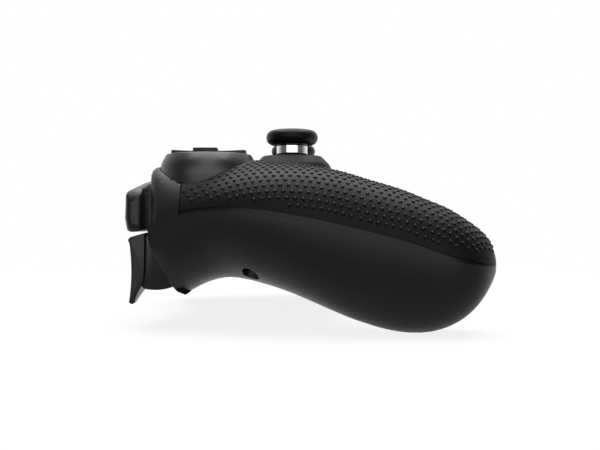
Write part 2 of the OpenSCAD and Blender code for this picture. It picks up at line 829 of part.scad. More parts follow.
// Small buttons in the middle of the face, over switches on the board
switch_h = 2;
small_travel = 0.6;
small_rise = 0.8;
menu_turn = 20;
light_l = 8;
light_w = 1.6;
light_y = 19.5;
module menu_places() {
    for (s = [-1, 1])
        menu_place(s)
            children();
}
module menu_place(s) {
    translate([s * menu_x, menu_y, board_z])
        rotate([0, 0, -s * menu_turn])
            children();
}
module light_place() {
    translate([0, light_y, board_z])
        children();
}
stem_z = switch_h + small_travel + gap;
flange_z = board_drop - wall - 3;
module menu_button(s) {
    color([0.2, 0.2, 0.21])
        menu_place(s)
            union() {
                translate([0, 0, flange_z])
                    slot_bar(menu_l, menu_w, board_drop + small_rise - flange_z);
                translate([0, 0, flange_z])
                    slot_bar(menu_l + 1.6, menu_w + 1.6, 1);
                translate([0, 0, stem_z])
                    cylinder(d = menu_w - 0.6, h = flange_z + 0.5 - stem_z);
            }
}
module home_button() {
    color([0.2, 0.2, 0.21])
        translate([0, home_y, board_z])
            rotate_extrude()
                polygon(concat(
                    [[0, stem_z], [1.6, stem_z], [1.6, flange_z], [home_d / 2 + 0.8, flange_z]],
                    [[home_d / 2 + 0.8, flange_z + 1], [home_d / 2, flange_z + 1]],
                    arc([home_d / 2 - 0.6, board_drop + small_rise - 1], 0.6, 0, 80, 4),
                    [[0, board_drop + small_rise - 0.3]]
                ));
}
module centre_switches() {
    color([0.4, 0.4, 0.41]) {
        menu_places()
            translate([-2, -2, fit])
                cube([4, 4, switch_h - fit]);
        translate([-2, home_y - 2, board_z + fit])
            cube([4, 4, switch_h - fit]);
    }
}
module status_light() {
    color([0.85, 0.86, 0.86])
        light_place()
            translate([0, 0, fit])
                slot_bar(light_l, light_w, board_drop - 0.1);
}

// Bumper: a long rounded bar along the front edge with a neck through the front wall
module bumper_slice(x, deep, top) {
    rear = bumper_rear(x);
    side_plate(x, x + 0.5)
        offset(r = 1.3, $fn = 24)
            polygon([
                [rear + 1.3, bumper_low + 1.8], [rear + deep - 1.8, bumper_low + 1.3],
                [rear + deep - 1.3, bumper_low + 5], [rear + deep - 1.5, top - 2.4],
                [rear + 1.3, top - 1.3]
            ]);
}
tongue_x = (shoulder_in + shoulder_out) / 2;
tongue_z = bracket_top + 1.4;
neck_rear = front_y - 2.4;
neck_front = front_y + 2.2;
module bumper(side) {
    neck_low = trigger_z + hub_r + 2.1;
    color([0.12, 0.12, 0.13])
        on_side(side)
            union() {
                hull() {
                    bumper_slice(shoulder_in - 2, bumper_deep - 0.9, seam_z + 11);
                    bumper_slice((shoulder_in + bumper_out) / 2 - 2, bumper_deep - 0.54, seam_z + 9.4);
                    bumper_slice(bumper_out - 2.4, bumper_deep, seam_z + 7.2);
                    bumper_slice(bumper_out - 0.5, bumper_deep - 0.8, seam_z + 6.4);
                }
                side_plate(shoulder_in + gap, neck_out)
                    polygon([
                        [neck_rear, neck_low], [neck_front - 2.8, neck_low],
                        [neck_front - 2.8, bumper_low + 0.7], [neck_front, bumper_low + 0.7],
                        [neck_front, seam_z + 4.4], [neck_front - 1.4, seam_z + 5.2],
                        [neck_rear + 1.4, seam_z + 6.5], [neck_rear, seam_z + 5.7]
                    ]);
                translate([tongue_x - 5, neck_rear - 4.2, tongue_z])
                    cube([10, 4.4, 4]);
            }
}

// Bracket over each trigger: two ears for the pin under one plate
module trigger_ear(x) {
    side_plate(x, x + ear_t)
        polygon(concat(
            arc([trigger_y, trigger_z], 2.3, -115, 65, 10),
            [[bracket_front, bracket_top], [bracket_rear, bracket_top], [bracket_rear, bracket_top - 3]]
        ));
}
module trigger_bracket(side) {
    color([0.22, 0.22, 0.23])
        on_side(side)
            difference() {
                union() {
                    trigger_ear(shoulder_in - ear_t);
                    trigger_ear(shoulder_out - ear_t + 0.3);
                    translate([shoulder_in - ear_t, bracket_rear, bracket_top - plate_t])
                        cube([shoulder_out - shoulder_in + ear_t + 0.3, bracket_front - bracket_rear, plate_t]);
                }
                cross_rod(0, far, trigger_y, trigger_z, trigger_pin_d + 2 * fit);
            }
}
module bumper_switches() {
    color([0.4, 0.4, 0.41])
        for (s = [-1, 1])
            on_side(s)
                union() {
                    translate([tongue_x - 3, bracket_rear + 0.2, bracket_top + fit])
                        cube([6, 2.6, 5]);
                    translate([tongue_x, bracket_rear + 2.7, tongue_z + 2])
                        rotate([-90, 0, 0])
                            cylinder(d = 1.6, h = 0.4);
                }
}

// Trigger: a flared blade in front of a body whose lower edge is an arc about the pin
blade_front = 8;
module blade_outline() {
    top = trigger_z + 0.8;
    tip = trigger_z - 19.4;
    polygon(concat(
        [[trigger_y + 2.7, trigger_z + 2], [trigger_y + 3.4, trigger_z + 2]],
        [[trigger_y + 6.4, top]],
        arc([trigger_y + 7, top - 1.2], 1, 60, 0, 4),
        arc([trigger_y + blade_front + 61, trigger_z - 9.6], 62, 171.5, 188, 12),
        arc([trigger_y + 6.9, tip + 0.9], 0.9, -30, -130, 5),
        [[trigger_y + 5.2, tip + 3.2], [trigger_y + 3.6, tip + 6], [trigger_y + 2.9, tip + 9.5]]
    ));
}
module trigger_body_outline() {
    polygon(concat(
        arc([trigger_y, trigger_z], hub_r, 40, 180, 12),
        arc([trigger_y, trigger_z], trigger_r, -128, -76, 16),
        [[trigger_y + 5.4, trigger_z - 12], [trigger_y + 5, trigger_z + 0.8]]
    ));
}
spring_x = shoulder_in + 4;
spring_l = 5;
module trigger(side) {
    color([0.1, 0.1, 0.11])
        on_side(side)
            difference() {
                union() {
                    side_plate(shoulder_in, shoulder_out)
                        blade_outline();
                    side_plate(shoulder_in + gap, shoulder_out - ear_t)
                        trigger_body_outline();
                }
                cross_rod(0, far, trigger_y, trigger_z, trigger_pin_d + 2 * run_fit);
                cross_rod(spring_x - 0.5, spring_x + spring_l + 0.5, trigger_y, trigger_z, 2 * hub_r + 1.6);
                // the lower edge rises towards the middle of the pad
                translate([0, far, 0])
                    rotate([90, 0, 0])
                        linear_extrude(far - trigger_y - 3)
                            polygon([
                                [shoulder_in - 1, -1], [shoulder_out - 2, -1],
                                [shoulder_out - 2, trigger_z - 19.4], [shoulder_out - 10, trigger_z - 16.2],
                                [shoulder_in + 4, trigger_z - 13.2], [shoulder_in - 1, trigger_z - 11.5]
                            ]);
            }
}
module trigger_pin(side) {
    color([0.7, 0.71, 0.73])
        on_side(side)
            cross_rod(shoulder_in - ear_t, shoulder_out + 0.3, trigger_y, trigger_z, trigger_pin_d);
}

// Return spring round the pin, as one wire swept along its coils and its upper leg
wire_r = 0.3;
coil_r = trigger_pin_d / 2 + 0.9;
coil_turns = 5;
coil_steps = 9;
module trigger_spring(side) {
    last = coil_turns * coil_steps;
    pitch = (spring_l - 2 * wire_r) / last;
    turn_at = function (i) 180 - 360 * i / coil_steps;
    coil = [for (i = [0:last]) [
        spring_x + wire_r + pitch * i,
        trigger_y + coil_r * cos(turn_at(i)),
        trigger_z + coil_r * sin(turn_at(i))]];
    leg_top = bracket_top - plate_t - gap;
    leg = [for (z = [leg_top, (leg_top + trigger_z) / 2 + 0.6]) [coil[0][0], coil[0][1], z]];
    path = concat(leg, coil);
    rings = [for (i = [0:len(path) - 1])
        let (
            ahead = path[min(i + 1, len(path) - 1)] - path[max(i - 1, 0)],
            along = ahead / norm(ahead),
            side_way = [1, 0, 0] - along * along[0],
            u = side_way / norm(side_way),
            v = cross(along, u)
        )
        [for (k = [0:4]) path[i] + wire_r * (cos(72 * k) * u + sin(72 * k) * v)]];
    faces = [for (i = [0:len(rings) - 2], k = [0:4])
        let (a = 5 * i + k, b = 5 * i + (k + 1) % 5)
        each [[a, a + 5, b + 5], [a, b + 5, b]]];
    ends = [[for (k = [0:4]) k], [for (k = [4:-1:0]) 5 * (len(rings) - 1) + k]];
    color([0.75, 0.76, 0.78])
        on_side(side)
            polyhedron([for (r = rings) each r], concat(faces, ends));
}

// Circuit board: one plate under the pods, the sticks and the charging port
board_side = pod_x + 11;
module main_board() {
    color([0.05, 0.28, 0.14])
        translate([0, 0, board_z - board_t])
            linear_extrude(board_t)
                polygon([
                    [10, front_y - wall - gap - 0.4], [14, front_y - 6], [pod_x + 2, front_y - 7],
                    [board_side, front_y - 12], [board_side, 23], [pod_x + 8, 14],
                    [stick_x + 14, -2], [stick_x + 8, -9], [-stick_x - 8, -9],
                    [-stick_x - 14, -2], [-pod_x - 8, 14],
                    [-board_side, 23], [-board_side, front_y - 12],
                    [-pod_x - 2, front_y - 7], [-14, front_y - 6],
                    [-10, front_y - wall - gap - 0.4]
                ]);
}

module battery_pack() {
    color([0.25, 0.32, 0.42])
        translate([-battery_w / 2, battery_y - battery_l / 2, battery_z])
            cube([battery_w, battery_l, battery_t]);
}

module rumble_motor(side) {
    color([0.6, 0.61, 0.63])
        on_side(side)
            difference() {
                cross_rod(motor_in, motor_in + motor_l, motor_y, motor_z, motor_d);
                cross_rod(motor_in - 1, motor_in + 4, motor_y, motor_z, 2 + 2 * run_fit);
            }
}

// Half-round weight on the motor's shaft
module rumble_weight(side) {
    color([0.5, 0.5, 0.52])
        on_side(side)
            union() {
                cross_rod(motor_in - weight_l - 1.2, motor_in + 3.5, motor_y, motor_z, 2);
                difference() {
                    cross_rod(motor_in - weight_l - 0.6, motor_in - 0.6, motor_y, motor_z, 2 * weight_r);
                    translate([motor_in - weight_l - 2, motor_y - weight_r - 1, motor_z + 2])
                        cube([weight_l + 4, 2 * weight_r + 2, weight_r]);
                }
            }
}

// Charging port under the front edge of the board, flush with the front wall
usb_w = 8.9;
usb_h = 3.2;
usb_l = 7.4;
usb_z = board_z - board_t - usb_h / 2 - fit;
module usb_plan(grow) {
    for (s = [-1, 1])
        translate([s * (usb_w - usb_h) / 2, 0])
            circle(d = usb_h + 2 * grow);
    square([usb_w - usb_h, usb_h + 2 * grow], center = true);
}
module usb_place(grow) {
    translate([0, front_y + 2, usb_z])
        rotate([90, 0, 0])
            linear_extrude(usb_l + 2)
                usb_plan(grow);
}
module usb_port() {
    color([0.7, 0.71, 0.72])
        difference() {
            translate([0, front_y, usb_z])
                rotate([90, 0, 0])
                    linear_extrude(usb_l)
                        usb_plan(0);
            translate([0, front_y + 1, usb_z])
                rotate([90, 0, 0])
                    linear_extrude(usb_l - 0.5)
                        difference() {
                            usb_plan(-0.35);
                            square([usb_w - 2.6, 0.7], center = true);
                        }
        }
}

// Headset socket in the back edge between the grips
jack_z = 24;
jack_l = 15;
jack_collar = 6.4;
jack_block = 6.6;
module jack_place(grow) {
    translate([0, -rear_y - 2, jack_z])
        rotate([-90, 0, 0])
            cylinder(d = jack_collar + 2 * grow, h = 10);
    translate([-jack_block / 2 - grow, -rear_y + 7 - grow, jack_z - jack_block / 2 - grow])
        cube([jack_block + 2 * grow, jack_l - 6.5 + 2 * grow, far]);
}
module headset_jack() {
    color([0.12, 0.12, 0.12])
        difference() {
            union() {
                translate([0, -rear_y, jack_z])
                    rotate([-90, 0, 0])
                        cylinder(d = jack_collar, h = jack_l);
                translate([-jack_block / 2, -rear_y + 7, jack_z - jack_block / 2])
                    cube([jack_block, jack_l - 6.5, jack_block]);
            }
            translate([0, -rear_y - 1, jack_z])
                rotate([-90, 0, 0])
                    cylinder(d = jack_d, h = jack_l + 0.6);
        }
}

// Self-tapping screws, driven from below
module housing_screws() {
    color([0.35, 0.35, 0.37])
        for (s = [-1, 1], p = screw_seats)
            translate([s * p[0], p[1], p[2] - 1.6])
                union() {
                    difference() {
                        cylinder(d = screw_head_d, h = 1.6);
                        translate([0, 0, -0.1])
                            cylinder(d = 1.6, h = 1);
                    }
                    translate([0, 0, 1.5])
                        cylinder(d = screw_d, h = p[3] - p[2] + 0.1);
                }
}

upper_shell();
lower_shell();
grip_panel(-1);  // grip_panel_left
grip_panel(1);  // grip_panel_right
dpad_bezel();
button_bezel();
stick_ring(-1);  // stick_ring_left
stick_ring(1);  // stick_ring_right
housing_screws();
main_board();
battery_pack();
stick_module(-1);  // stick_module_left
stick_rocker(-1);  // stick_rocker_left
stick_gimbal(-1);  // stick_gimbal_left
stick_shaft(-1);  // stick_shaft_left
stick_collar(-1);  // stick_collar_left
stick_cap(-1);  // stick_cap_left
stick_module(1);  // stick_module_right
stick_rocker(1);  // stick_rocker_right
stick_gimbal(1);  // stick_gimbal_right
stick_shaft(1);  // stick_shaft_right
stick_collar(1);  // stick_collar_right
stick_cap(1);  // stick_cap_right
dpad_cross();
dpad_pivot();
dpad_seat();
dpad_membrane();
face_button(button_angles[0]);  // face_button_up
face_button(button_angles[1]);  // face_button_right
face_button(button_angles[2]);  // face_button_down
face_button(button_angles[3]);  // face_button_left
button_membrane();
menu_button(-1);  // menu_button_left
menu_button(1);  // menu_button_right
home_button();
centre_switches();
status_light();
bumper(-1);  // bumper_left
bumper(1);  // bumper_right
bumper_switches();
trigger(-1);  // trigger_left
trigger_pin(-1);  // trigger_pin_left
trigger_spring(-1);  // trigger_spring_left
trigger_bracket(-1);  // trigger_bracket_left
trigger(1);  // trigger_right
trigger_pin(1);  // trigger_pin_right
trigger_spring(1);  // trigger_spring_right
trigger_bracket(1);  // trigger_bracket_right
rumble_motor(-1);  // rumble_motor_left
rumble_weight(-1);  // rumble_weight_left
rumble_motor(1);  // rumble_motor_right
rumble_weight(1);  // rumble_weight_right
usb_port();
headset_jack();
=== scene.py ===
import bpy, math
import numpy as np
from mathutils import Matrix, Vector
from mathutils.bvhtree import BVHTree


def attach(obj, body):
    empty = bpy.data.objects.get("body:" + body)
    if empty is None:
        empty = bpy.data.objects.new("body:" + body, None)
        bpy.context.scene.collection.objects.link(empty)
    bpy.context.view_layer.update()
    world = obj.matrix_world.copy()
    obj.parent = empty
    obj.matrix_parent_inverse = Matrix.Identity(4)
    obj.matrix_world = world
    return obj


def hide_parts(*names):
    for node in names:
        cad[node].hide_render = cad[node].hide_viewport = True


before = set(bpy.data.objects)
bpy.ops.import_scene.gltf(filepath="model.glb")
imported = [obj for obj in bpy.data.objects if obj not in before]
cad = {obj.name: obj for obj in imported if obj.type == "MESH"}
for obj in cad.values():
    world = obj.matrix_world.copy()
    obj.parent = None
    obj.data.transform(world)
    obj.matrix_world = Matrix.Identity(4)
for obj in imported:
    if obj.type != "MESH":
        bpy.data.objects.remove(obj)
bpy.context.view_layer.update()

# ---------------------------------------------------------------- stage
# A pale studio floor under a white surround, with one wide soft light above and two weak ones
# in front. The camera looks level at the left side, as in the photograph.
scene = bpy.context.scene
scene.view_settings.view_transform = "Standard"

AMBIENT, FLOOR_Z, AIM_Z = 0.12, -0.0003, 0.04
CAMERA = (-0.305, 0.00205, 0.0313)


def map_range(tree, source, limits, smooth=False):
    """Maps a value from one span to another: from low, from high, to low, to high."""
    node = tree.nodes.new("ShaderNodeMapRange")
    node.interpolation_type = "SMOOTHSTEP" if smooth else "LINEAR"
    for name, value in zip(("From Min", "From Max", "To Min", "To Max"), limits):
        node.inputs[name].default_value = value
    tree.links.new(source, node.inputs["Value"])
    return node.outputs["Result"]


def maths(tree, operation, first, second):
    """One operation on two sockets, or on a socket and a number."""
    node = tree.nodes.new("ShaderNodeMath")
    node.operation = operation
    tree.links.new(first, node.inputs[0])
    if isinstance(second, float):
        node.inputs[1].default_value = second
    else:
        tree.links.new(second, node.inputs[1])
    return node.outputs[0]


def along_x(tree, place):
    """X of a place or a direction."""
    node = tree.nodes.new("ShaderNodeSeparateXYZ")
    tree.links.new(place, node.inputs[0])
    return node.outputs["X"]


world = bpy.data.worlds.new("surround")
scene.world = world
world.use_nodes = True
tree = world.node_tree
sky = tree.nodes["Background"]
path = tree.nodes.new("ShaderNodeLightPath")
way = tree.nodes.new("ShaderNodeTexCoord")
shade = map_range(tree, along_x(tree, way.outputs["Generated"]), (-0.4, 0.9, 0.03, 1.0), smooth=True)
level = maths(tree, "MULTIPLY", shade, path.outputs["Is Glossy Ray"])
for other in (path.outputs["Is Camera Ray"], path.outputs["Is Transmission Ray"], AMBIENT):
    level = maths(tree, "MAXIMUM", level, other)
tree.links.new(level, sky.inputs["Strength"])
sky.inputs["Color"].default_value = (1, 1, 1, 1)

bpy.ops.mesh.primitive_plane_add(size=8, location=(0, 0, FLOOR_Z))
floor = bpy.context.object
floor.name = "floor"
bpy.ops.object.transform_apply(location=True, rotation=True, scale=True)
paper = bpy.data.materials.new("paper")
paper.use_nodes = True
tree = paper.node_tree
board = tree.nodes["Principled BSDF"]
board.inputs["Base Color"].default_value = (0.82, 0.82, 0.82, 1)
board.inputs["Roughness"].default_value = 0.9
path = tree.nodes.new("ShaderNodeLightPath")
spot = tree.nodes.new("ShaderNodeTexCoord")
reach = tree.nodes.new("ShaderNodeVectorMath")
reach.operation = "LENGTH"
tree.links.new(spot.outputs["Object"], reach.inputs[0])
fade = map_range(tree, reach.outputs["Value"], (0.08, 0.40, 0.84, 1.0))
seen = maths(tree, "MULTIPLY", fade, path.outputs["Is Camera Ray"])
share = maths(tree, "MAXIMUM", seen, path.outputs["Is Glossy Ray"])
front = map_range(tree, along_x(tree, spot.outputs["Object"]), (-0.11, -0.01, 0.14, 1.0), smooth=True)
glow = tree.nodes.new("ShaderNodeEmission")
tree.links.new(maths(tree, "MAXIMUM", front, path.outputs["Is Camera Ray"]), glow.inputs["Strength"])
mixed = tree.nodes.new("ShaderNodeMixShader")
tree.links.new(share, mixed.inputs[0])
tree.links.new(board.outputs[0], mixed.inputs[1])
tree.links.new(glow.outputs[0], mixed.inputs[2])
tree.links.new(mixed.outputs[0], tree.nodes["Material Output"].inputs["Surface"])
floor.data.materials.append(paper)

for name, place, wide, tall, power in (
    ("top_light", (0.05, 0.0, 0.75), 0.9, 0.9, 12.0),
    ("key_light", (-0.50, 0.0, 0.44), 0.40, 0.40, 0.7),
    ("strip_light", (-0.60, 0.0, 0.107), 1.0, 0.22, 1.1),
):
    bpy.ops.object.light_add(type="AREA", location=place)
    lamp = bpy.context.object
    lamp.name = name
    lamp.data.shape = "RECTANGLE"
    lamp.data.size = wide
    lamp.data.size_y = tall
    lamp.data.energy = power
    lamp.rotation_euler = (Vector((0, 0, AIM_Z)) - Vector(place)).to_track_quat("-Z", "Y").to_euler()

bpy.ops.object.camera_add(location=CAMERA, rotation=(math.radians(90), 0, math.radians(-90)))
camera = bpy.context.object
camera.data.lens = 50
camera.data.sensor_width = 36
camera.data.clip_start = 0.01
scene.camera = camera

# ---------------------------------------------------------------- lower shell
# Moulded underside of black ABS with a fine eroded texture: a tray with both grip bottoms.
# It is lofted over sections that fan round the inner corner of each grip, like the CAD.
MM = 0.001
TURN_X, TURN_Y, TURN_R = 34.0, -30.0, 12.0
TIP_Y, GRIP_X, GRIP_HALF, WALL, BELLY = -54.7, 62.5, 16.5, 2.6, 17.5
SIDE_END, TOP_END, LOW_END = 0.65 * TIP_Y, 0.685 * TIP_Y, 0.575 * TIP_Y
FRONT_Y, FRONT_BOW, BOW_X = 48.5, 1.6, 60
BLOCK_X, BLOCK_RUN, LIP_X, LIP_RUN = 51, 8, 22.6, 1.8
EDGE_LIFT, JOINT_GAP, JOINT_Y = 0.15, 0.24, 35
OUTLINE = [(0, 98.5), (8, 95.5), (14, 88.5), (18, 83), (22, 77.6), (27, 71.5), (35, 64.5), (45, 57.6),
           (57, 51.5), (70, 47), (80, 45.3), (90, 45)]
CREST = [(TIP_Y, 34.6), (0.87 * TIP_Y, 34.2), (0.71 * TIP_Y, 36.8), (0.5 * TIP_Y, 41.4), (-18, 44.3), (-9, 47.1),
         (2, 49.3), (17, 51.2), (32, 50.9), (48.5, 49.8), (100, 45.2)]
SEAM = [(TIP_Y, 19.4), (0.77 * TIP_Y, 21), (0.46 * TIP_Y, 26.4), (2, 32.7), (22, 35.3), (36.8, 34.1), (46.5, 31),
        (100, 9.3)]
KEEL = [(TIP_Y, 6.6), (-52.7, 4.2), (-50, 2.0), (-47, 0.8), (-42, 0.15), (-37, 0.03), (-33, 0.03), (-29, 0.15),
        (-25, 0.65), (-21, 1.5), (-17, 2.7), (-12.7, 4.1), (-6, 6.8), (2, 10.1), (8, 12.2), (13, 13.6), (18, 14.8),
        (24, 15.35), (30.5, 13.6), (37, 10.0), (100, -24)]
FULL_TOP = [(-100, 4.5), (0, 4.5), (8, 3.6), (14, 2.75), (17, 2.35), (20, 1.95), (25, 1.7), (35, 1.8), (50, 2.05),
            (90, 2.15), (200, 2.1)]
FULLNESS = [(-100, 4.5), (0, 4.5), (12, 3.6), (20, 2.7), (30, 2.2), (90, 2.15), (200, 2.1)]
LIP = [(0, 34.0), (10.4, 36.4), (11.4, 38.8), (12.7, 39.7), (27.7, 47.5), (30, 48.2)]


def rail(points, v):
    """Smooth curve through points that climb in their first number, for an array of places."""
    p = np.array(points, float)
    x, f = p[:, 0], p[:, 1]
    low, high = np.maximum(np.arange(len(p)) - 1, 0), np.minimum(np.arange(len(p)) + 1, len(p) - 1)
    lean = (f[high] - f[low]) / (x[high] - x[low])
    v = np.asarray(v, float)
    i = np.clip(np.searchsorted(x, v, side="left") - 1, 0, len(p) - 2)
    h = x[i + 1] - x[i]
    t = (v - x[i]) / h
    s = t * t * (3 - 2 * t)
    return f[i] * (1 - s) + f[i + 1] * s + h * t * (1 - t) * (lean[i] * (1 - t) - lean[i + 1] * t)


def soft_min(a, b, k):
    """The lesser of two, rounded over where they cross."""
    if k <= 0:
        return np.minimum(a, b)
    h = np.maximum(k - np.abs(a - b), 0) / k
    return np.minimum(a, b) - h * h * k / 4


def end_arc(y, start, inset):
    """Share of the full size that is left toward the grip's end, on a quarter circle."""
    t = np.clip((start - y) / (start - TIP_Y - inset), 0, 1)
    return np.sqrt(1 - t * t)


def stations(inset, fine):
    """Places of the sections from the middle of the pad to the end of the right grip."""
    found = []
    for x in np.linspace(0, TURN_X, 12 * fine + 1)[:-1]:
        found.append((x, TURN_Y, 0, 1, TURN_R + inset, OUTLINE[0][1] - inset, x - TURN_X))
    for a in np.linspace(0, 90, 26 * fine + 1):
        d = math.radians(a)
        reach = float(rail(OUTLINE, a)) - inset
        found.append((TURN_X, TURN_Y, math.sin(d), math.cos(d), TURN_R + inset, reach, a))
    places = [TURN_Y - 3] + [SIDE_END + (TIP_Y + inset - SIDE_END) * math.sin(math.radians(c))
                             for c in np.linspace(0, 90, 14 * fine + 1)]
    for y in places:
        half = (GRIP_HALF - inset) * float(end_arc(y, SIDE_END, inset))
        found.append((GRIP_X, y, 1, 0, -half, half, 100))
    return found


def lifted(y, rise):
    """Height of a lower edge above the parting line; a groove closes toward the grip's end."""
    t = np.clip((np.asarray(y, float) - TIP_Y - 2) / 9, 0, 1)
    joint = np.clip((np.asarray(y, float) - JOINT_Y) / 2, 0, 1) * (JOINT_GAP if rise < 0.1 else 0)
    return min(rise, EDGE_LIFT) + max(rise - EDGE_LIFT, 0) * t * t * (3 - 2 * t) + joint


def section(st, side, inset, steps, front_round, lip_round, rise):
    """Points over the skin from the inner to the outer edge of one section, evenly spaced."""
    cx, cy, dx, dy, r0, r1, key = st
    n = float(rail(FULL_TOP if side > 0 else FULLNESS, key))
    a = np.radians(np.linspace(0, 180, 721))
    u = -np.sign(np.cos(a)) * np.abs(np.cos(a)) ** (2 / n)
    u = np.sort(np.concatenate([u, np.linspace(-1, 1, 361)]))
    full = (1 - np.abs(u) ** n).clip(0) ** (1 / n)
    r = (r0 + r1) / 2 + (r1 - r0) / 2 * u
    x, y = cx + dx * r, cy + dy * r
    back = np.clip((18 - y) / 36, 0, 1)
    w = np.clip((key + 14 * (1 - back)) / (28 + 34 * back), 0, 1)
    w = w * w * (3 - 2 * w)
    base = rail(SEAM, y)
    under = rail(KEEL, y) * w + BELLY * (1 - w)
    if side > 0:
        z = base + full * (rail(CREST, y) - inset - base) * end_arc(y, TOP_END, inset)
    else:
        z = base - full * (base - under - inset) * end_arc(y, LOW_END, inset)
    turn = np.clip((x - BLOCK_X) / BLOCK_RUN, 0, 1) * (side > 0)
    front = FRONT_Y - FRONT_BOW * (x / BOW_X) ** 2 - turn * turn * (3 - 2 * turn) - inset
    y = soft_min(y, front, front_round)
    if lip_round > 0:
        z0, y0 = np.array(LIP).T
        at = np.clip((x - LIP_X) / LIP_RUN, 0, 1)
        y = soft_min(y, np.interp(z, z0, y0) * at + 200 * (1 - at), lip_round)
        z = np.maximum(z, rail(KEEL, y) * w + BELLY * (1 - w))
    p = np.stack([x, y, z], 1)
    if rise > 0:
        above = np.nonzero(z > rail(SEAM, y) + lifted(y, rise))[0]
        if len(above) < 3:
            return None
        p = p[above[0]:above[-1] + 1]
        p[[0, -1], 2] = rail(SEAM, p[[0, -1], 1]) + lifted(p[[0, -1], 1], rise)
    run = np.concatenate([[0], np.cumsum(np.linalg.norm(np.diff(p, axis=0), axis=1))])
    want = np.linspace(0, run[-1], steps + 1)
    return np.stack([np.interp(want, run, p[:, k]) for k in range(3)], 1)


def loft(name, side, inset=0, shift=0, fine=2, steps=72, front_round=0, lip_round=0, rise=0):
    """Closed solid of one half of the housing, as a grid moved onto its sections."""
    right = []
    for st in stations(inset, fine):
        over = section(st, side, inset, steps, front_round, lip_round, rise)
        if over is None:
            end = right[-1].mean(axis=0)
            right.append(np.tile([end[0], end[1] - 0.05, float(rail(SEAM, end[1]) + lifted(end[1], rise))],
                                 (2 * steps + 3, 1)))
            break
        under = over[::-1].copy()
        under[:, 2] = rail(SEAM, under[:, 1]) + lifted(under[:, 1], rise) - side * shift
        right.append(np.concatenate([over, under, over[:1]]))
    left = [ring * [-1, 1, 1] for ring in right[:0:-1]]
    rings = np.array(left + right) * MM
    rows, columns = rings.shape[:2]
    bpy.ops.mesh.primitive_grid_add(x_subdivisions=columns - 1, y_subdivisions=rows - 1, size=1)
    made = bpy.context.object
    made.name = name
    made.data.vertices.foreach_set("co", rings.reshape(-1))
    made.data.update()
    bpy.ops.object.mode_set(mode="EDIT")
    bpy.ops.mesh.select_all(action="SELECT")
    bpy.ops.mesh.remove_doubles(threshold=1e-6)
    bpy.ops.mesh.dissolve_degenerate(threshold=1e-7)
    bpy.ops.mesh.normals_make_consistent(inside=False)
    bpy.ops.object.mode_set(mode="OBJECT")
    return made


def cut(target, tool, how="DIFFERENCE"):
    """Applies an exact Boolean and drops the tool."""
    bpy.ops.object.select_all(action="DESELECT")
    bpy.context.view_layer.objects.active = target
    target.select_set(True)
    mod = target.modifiers.new("cut", "BOOLEAN")
    mod.operation = how
    mod.solver = "EXACT"
    mod.object = tool
    mod.use_hole_tolerant = True
    bpy.ops.object.modifier_apply(modifier=mod.name)
    bpy.data.objects.remove(tool, do_unlink=True)


def cylinder(x, y, z0, z1, r, top=None, sides=32):
    """Upright round tool, or a cone where a second radius is given."""
    bpy.ops.mesh.primitive_cone_add(vertices=sides, radius1=r * MM, radius2=(r if top is None else top) * MM,
                                    depth=(z1 - z0) * MM, location=(x * MM, y * MM, (z0 + z1) / 2 * MM))
    return bpy.context.object


def rod(x0, x1, y, z, r, sides=64):
    """Round tool that lies along X."""
    bpy.ops.mesh.primitive_cylinder_add(vertices=sides, radius=r * MM, depth=(x1 - x0) * MM,
                                        location=((x0 + x1) / 2 * MM, y * MM, z * MM), rotation=(0, math.pi / 2, 0))
    return bpy.context.object


def block(low, high):
    """Box tool between two corners."""
    size = [(b - a) * MM for a, b in zip(low, high)]
    bpy.ops.mesh.primitive_cube_add(size=1, location=[(a + b) / 2 * MM for a, b in zip(low, high)])
    made = bpy.context.object
    made.scale = size
    return made


def settle(*objs):
    """Joins objects, puts their places into the mesh and makes the normals face out."""
    bpy.ops.object.select_all(action="DESELECT")
    for o in objs:
        o.select_set(True)
    bpy.context.view_layer.objects.active = objs[0]
    if len(objs) > 1:
        bpy.ops.object.join()
    bpy.ops.object.transform_apply(location=True, rotation=True, scale=True)
    bpy.ops.object.mode_set(mode="EDIT")
    bpy.ops.mesh.select_all(action="SELECT")
    bpy.ops.mesh.remove_doubles(threshold=1e-6)
    bpy.ops.mesh.normals_make_consistent(inside=False)
    bpy.ops.object.mode_set(mode="OBJECT")
    return objs[0]


def both(make):
    """A left and a right tool, joined."""
    return settle(*(make(s) for s in (-1, 1)))


def span(s, a, b):
    """Two places along X on one side of the pad, in rising order."""
    return (a, b) if s > 0 else (-b, -a)


def side_block(s, x, y, z):
    """Box tool on one side of the pad, from its three spans."""
    return block(*zip(span(s, *x), y, z))


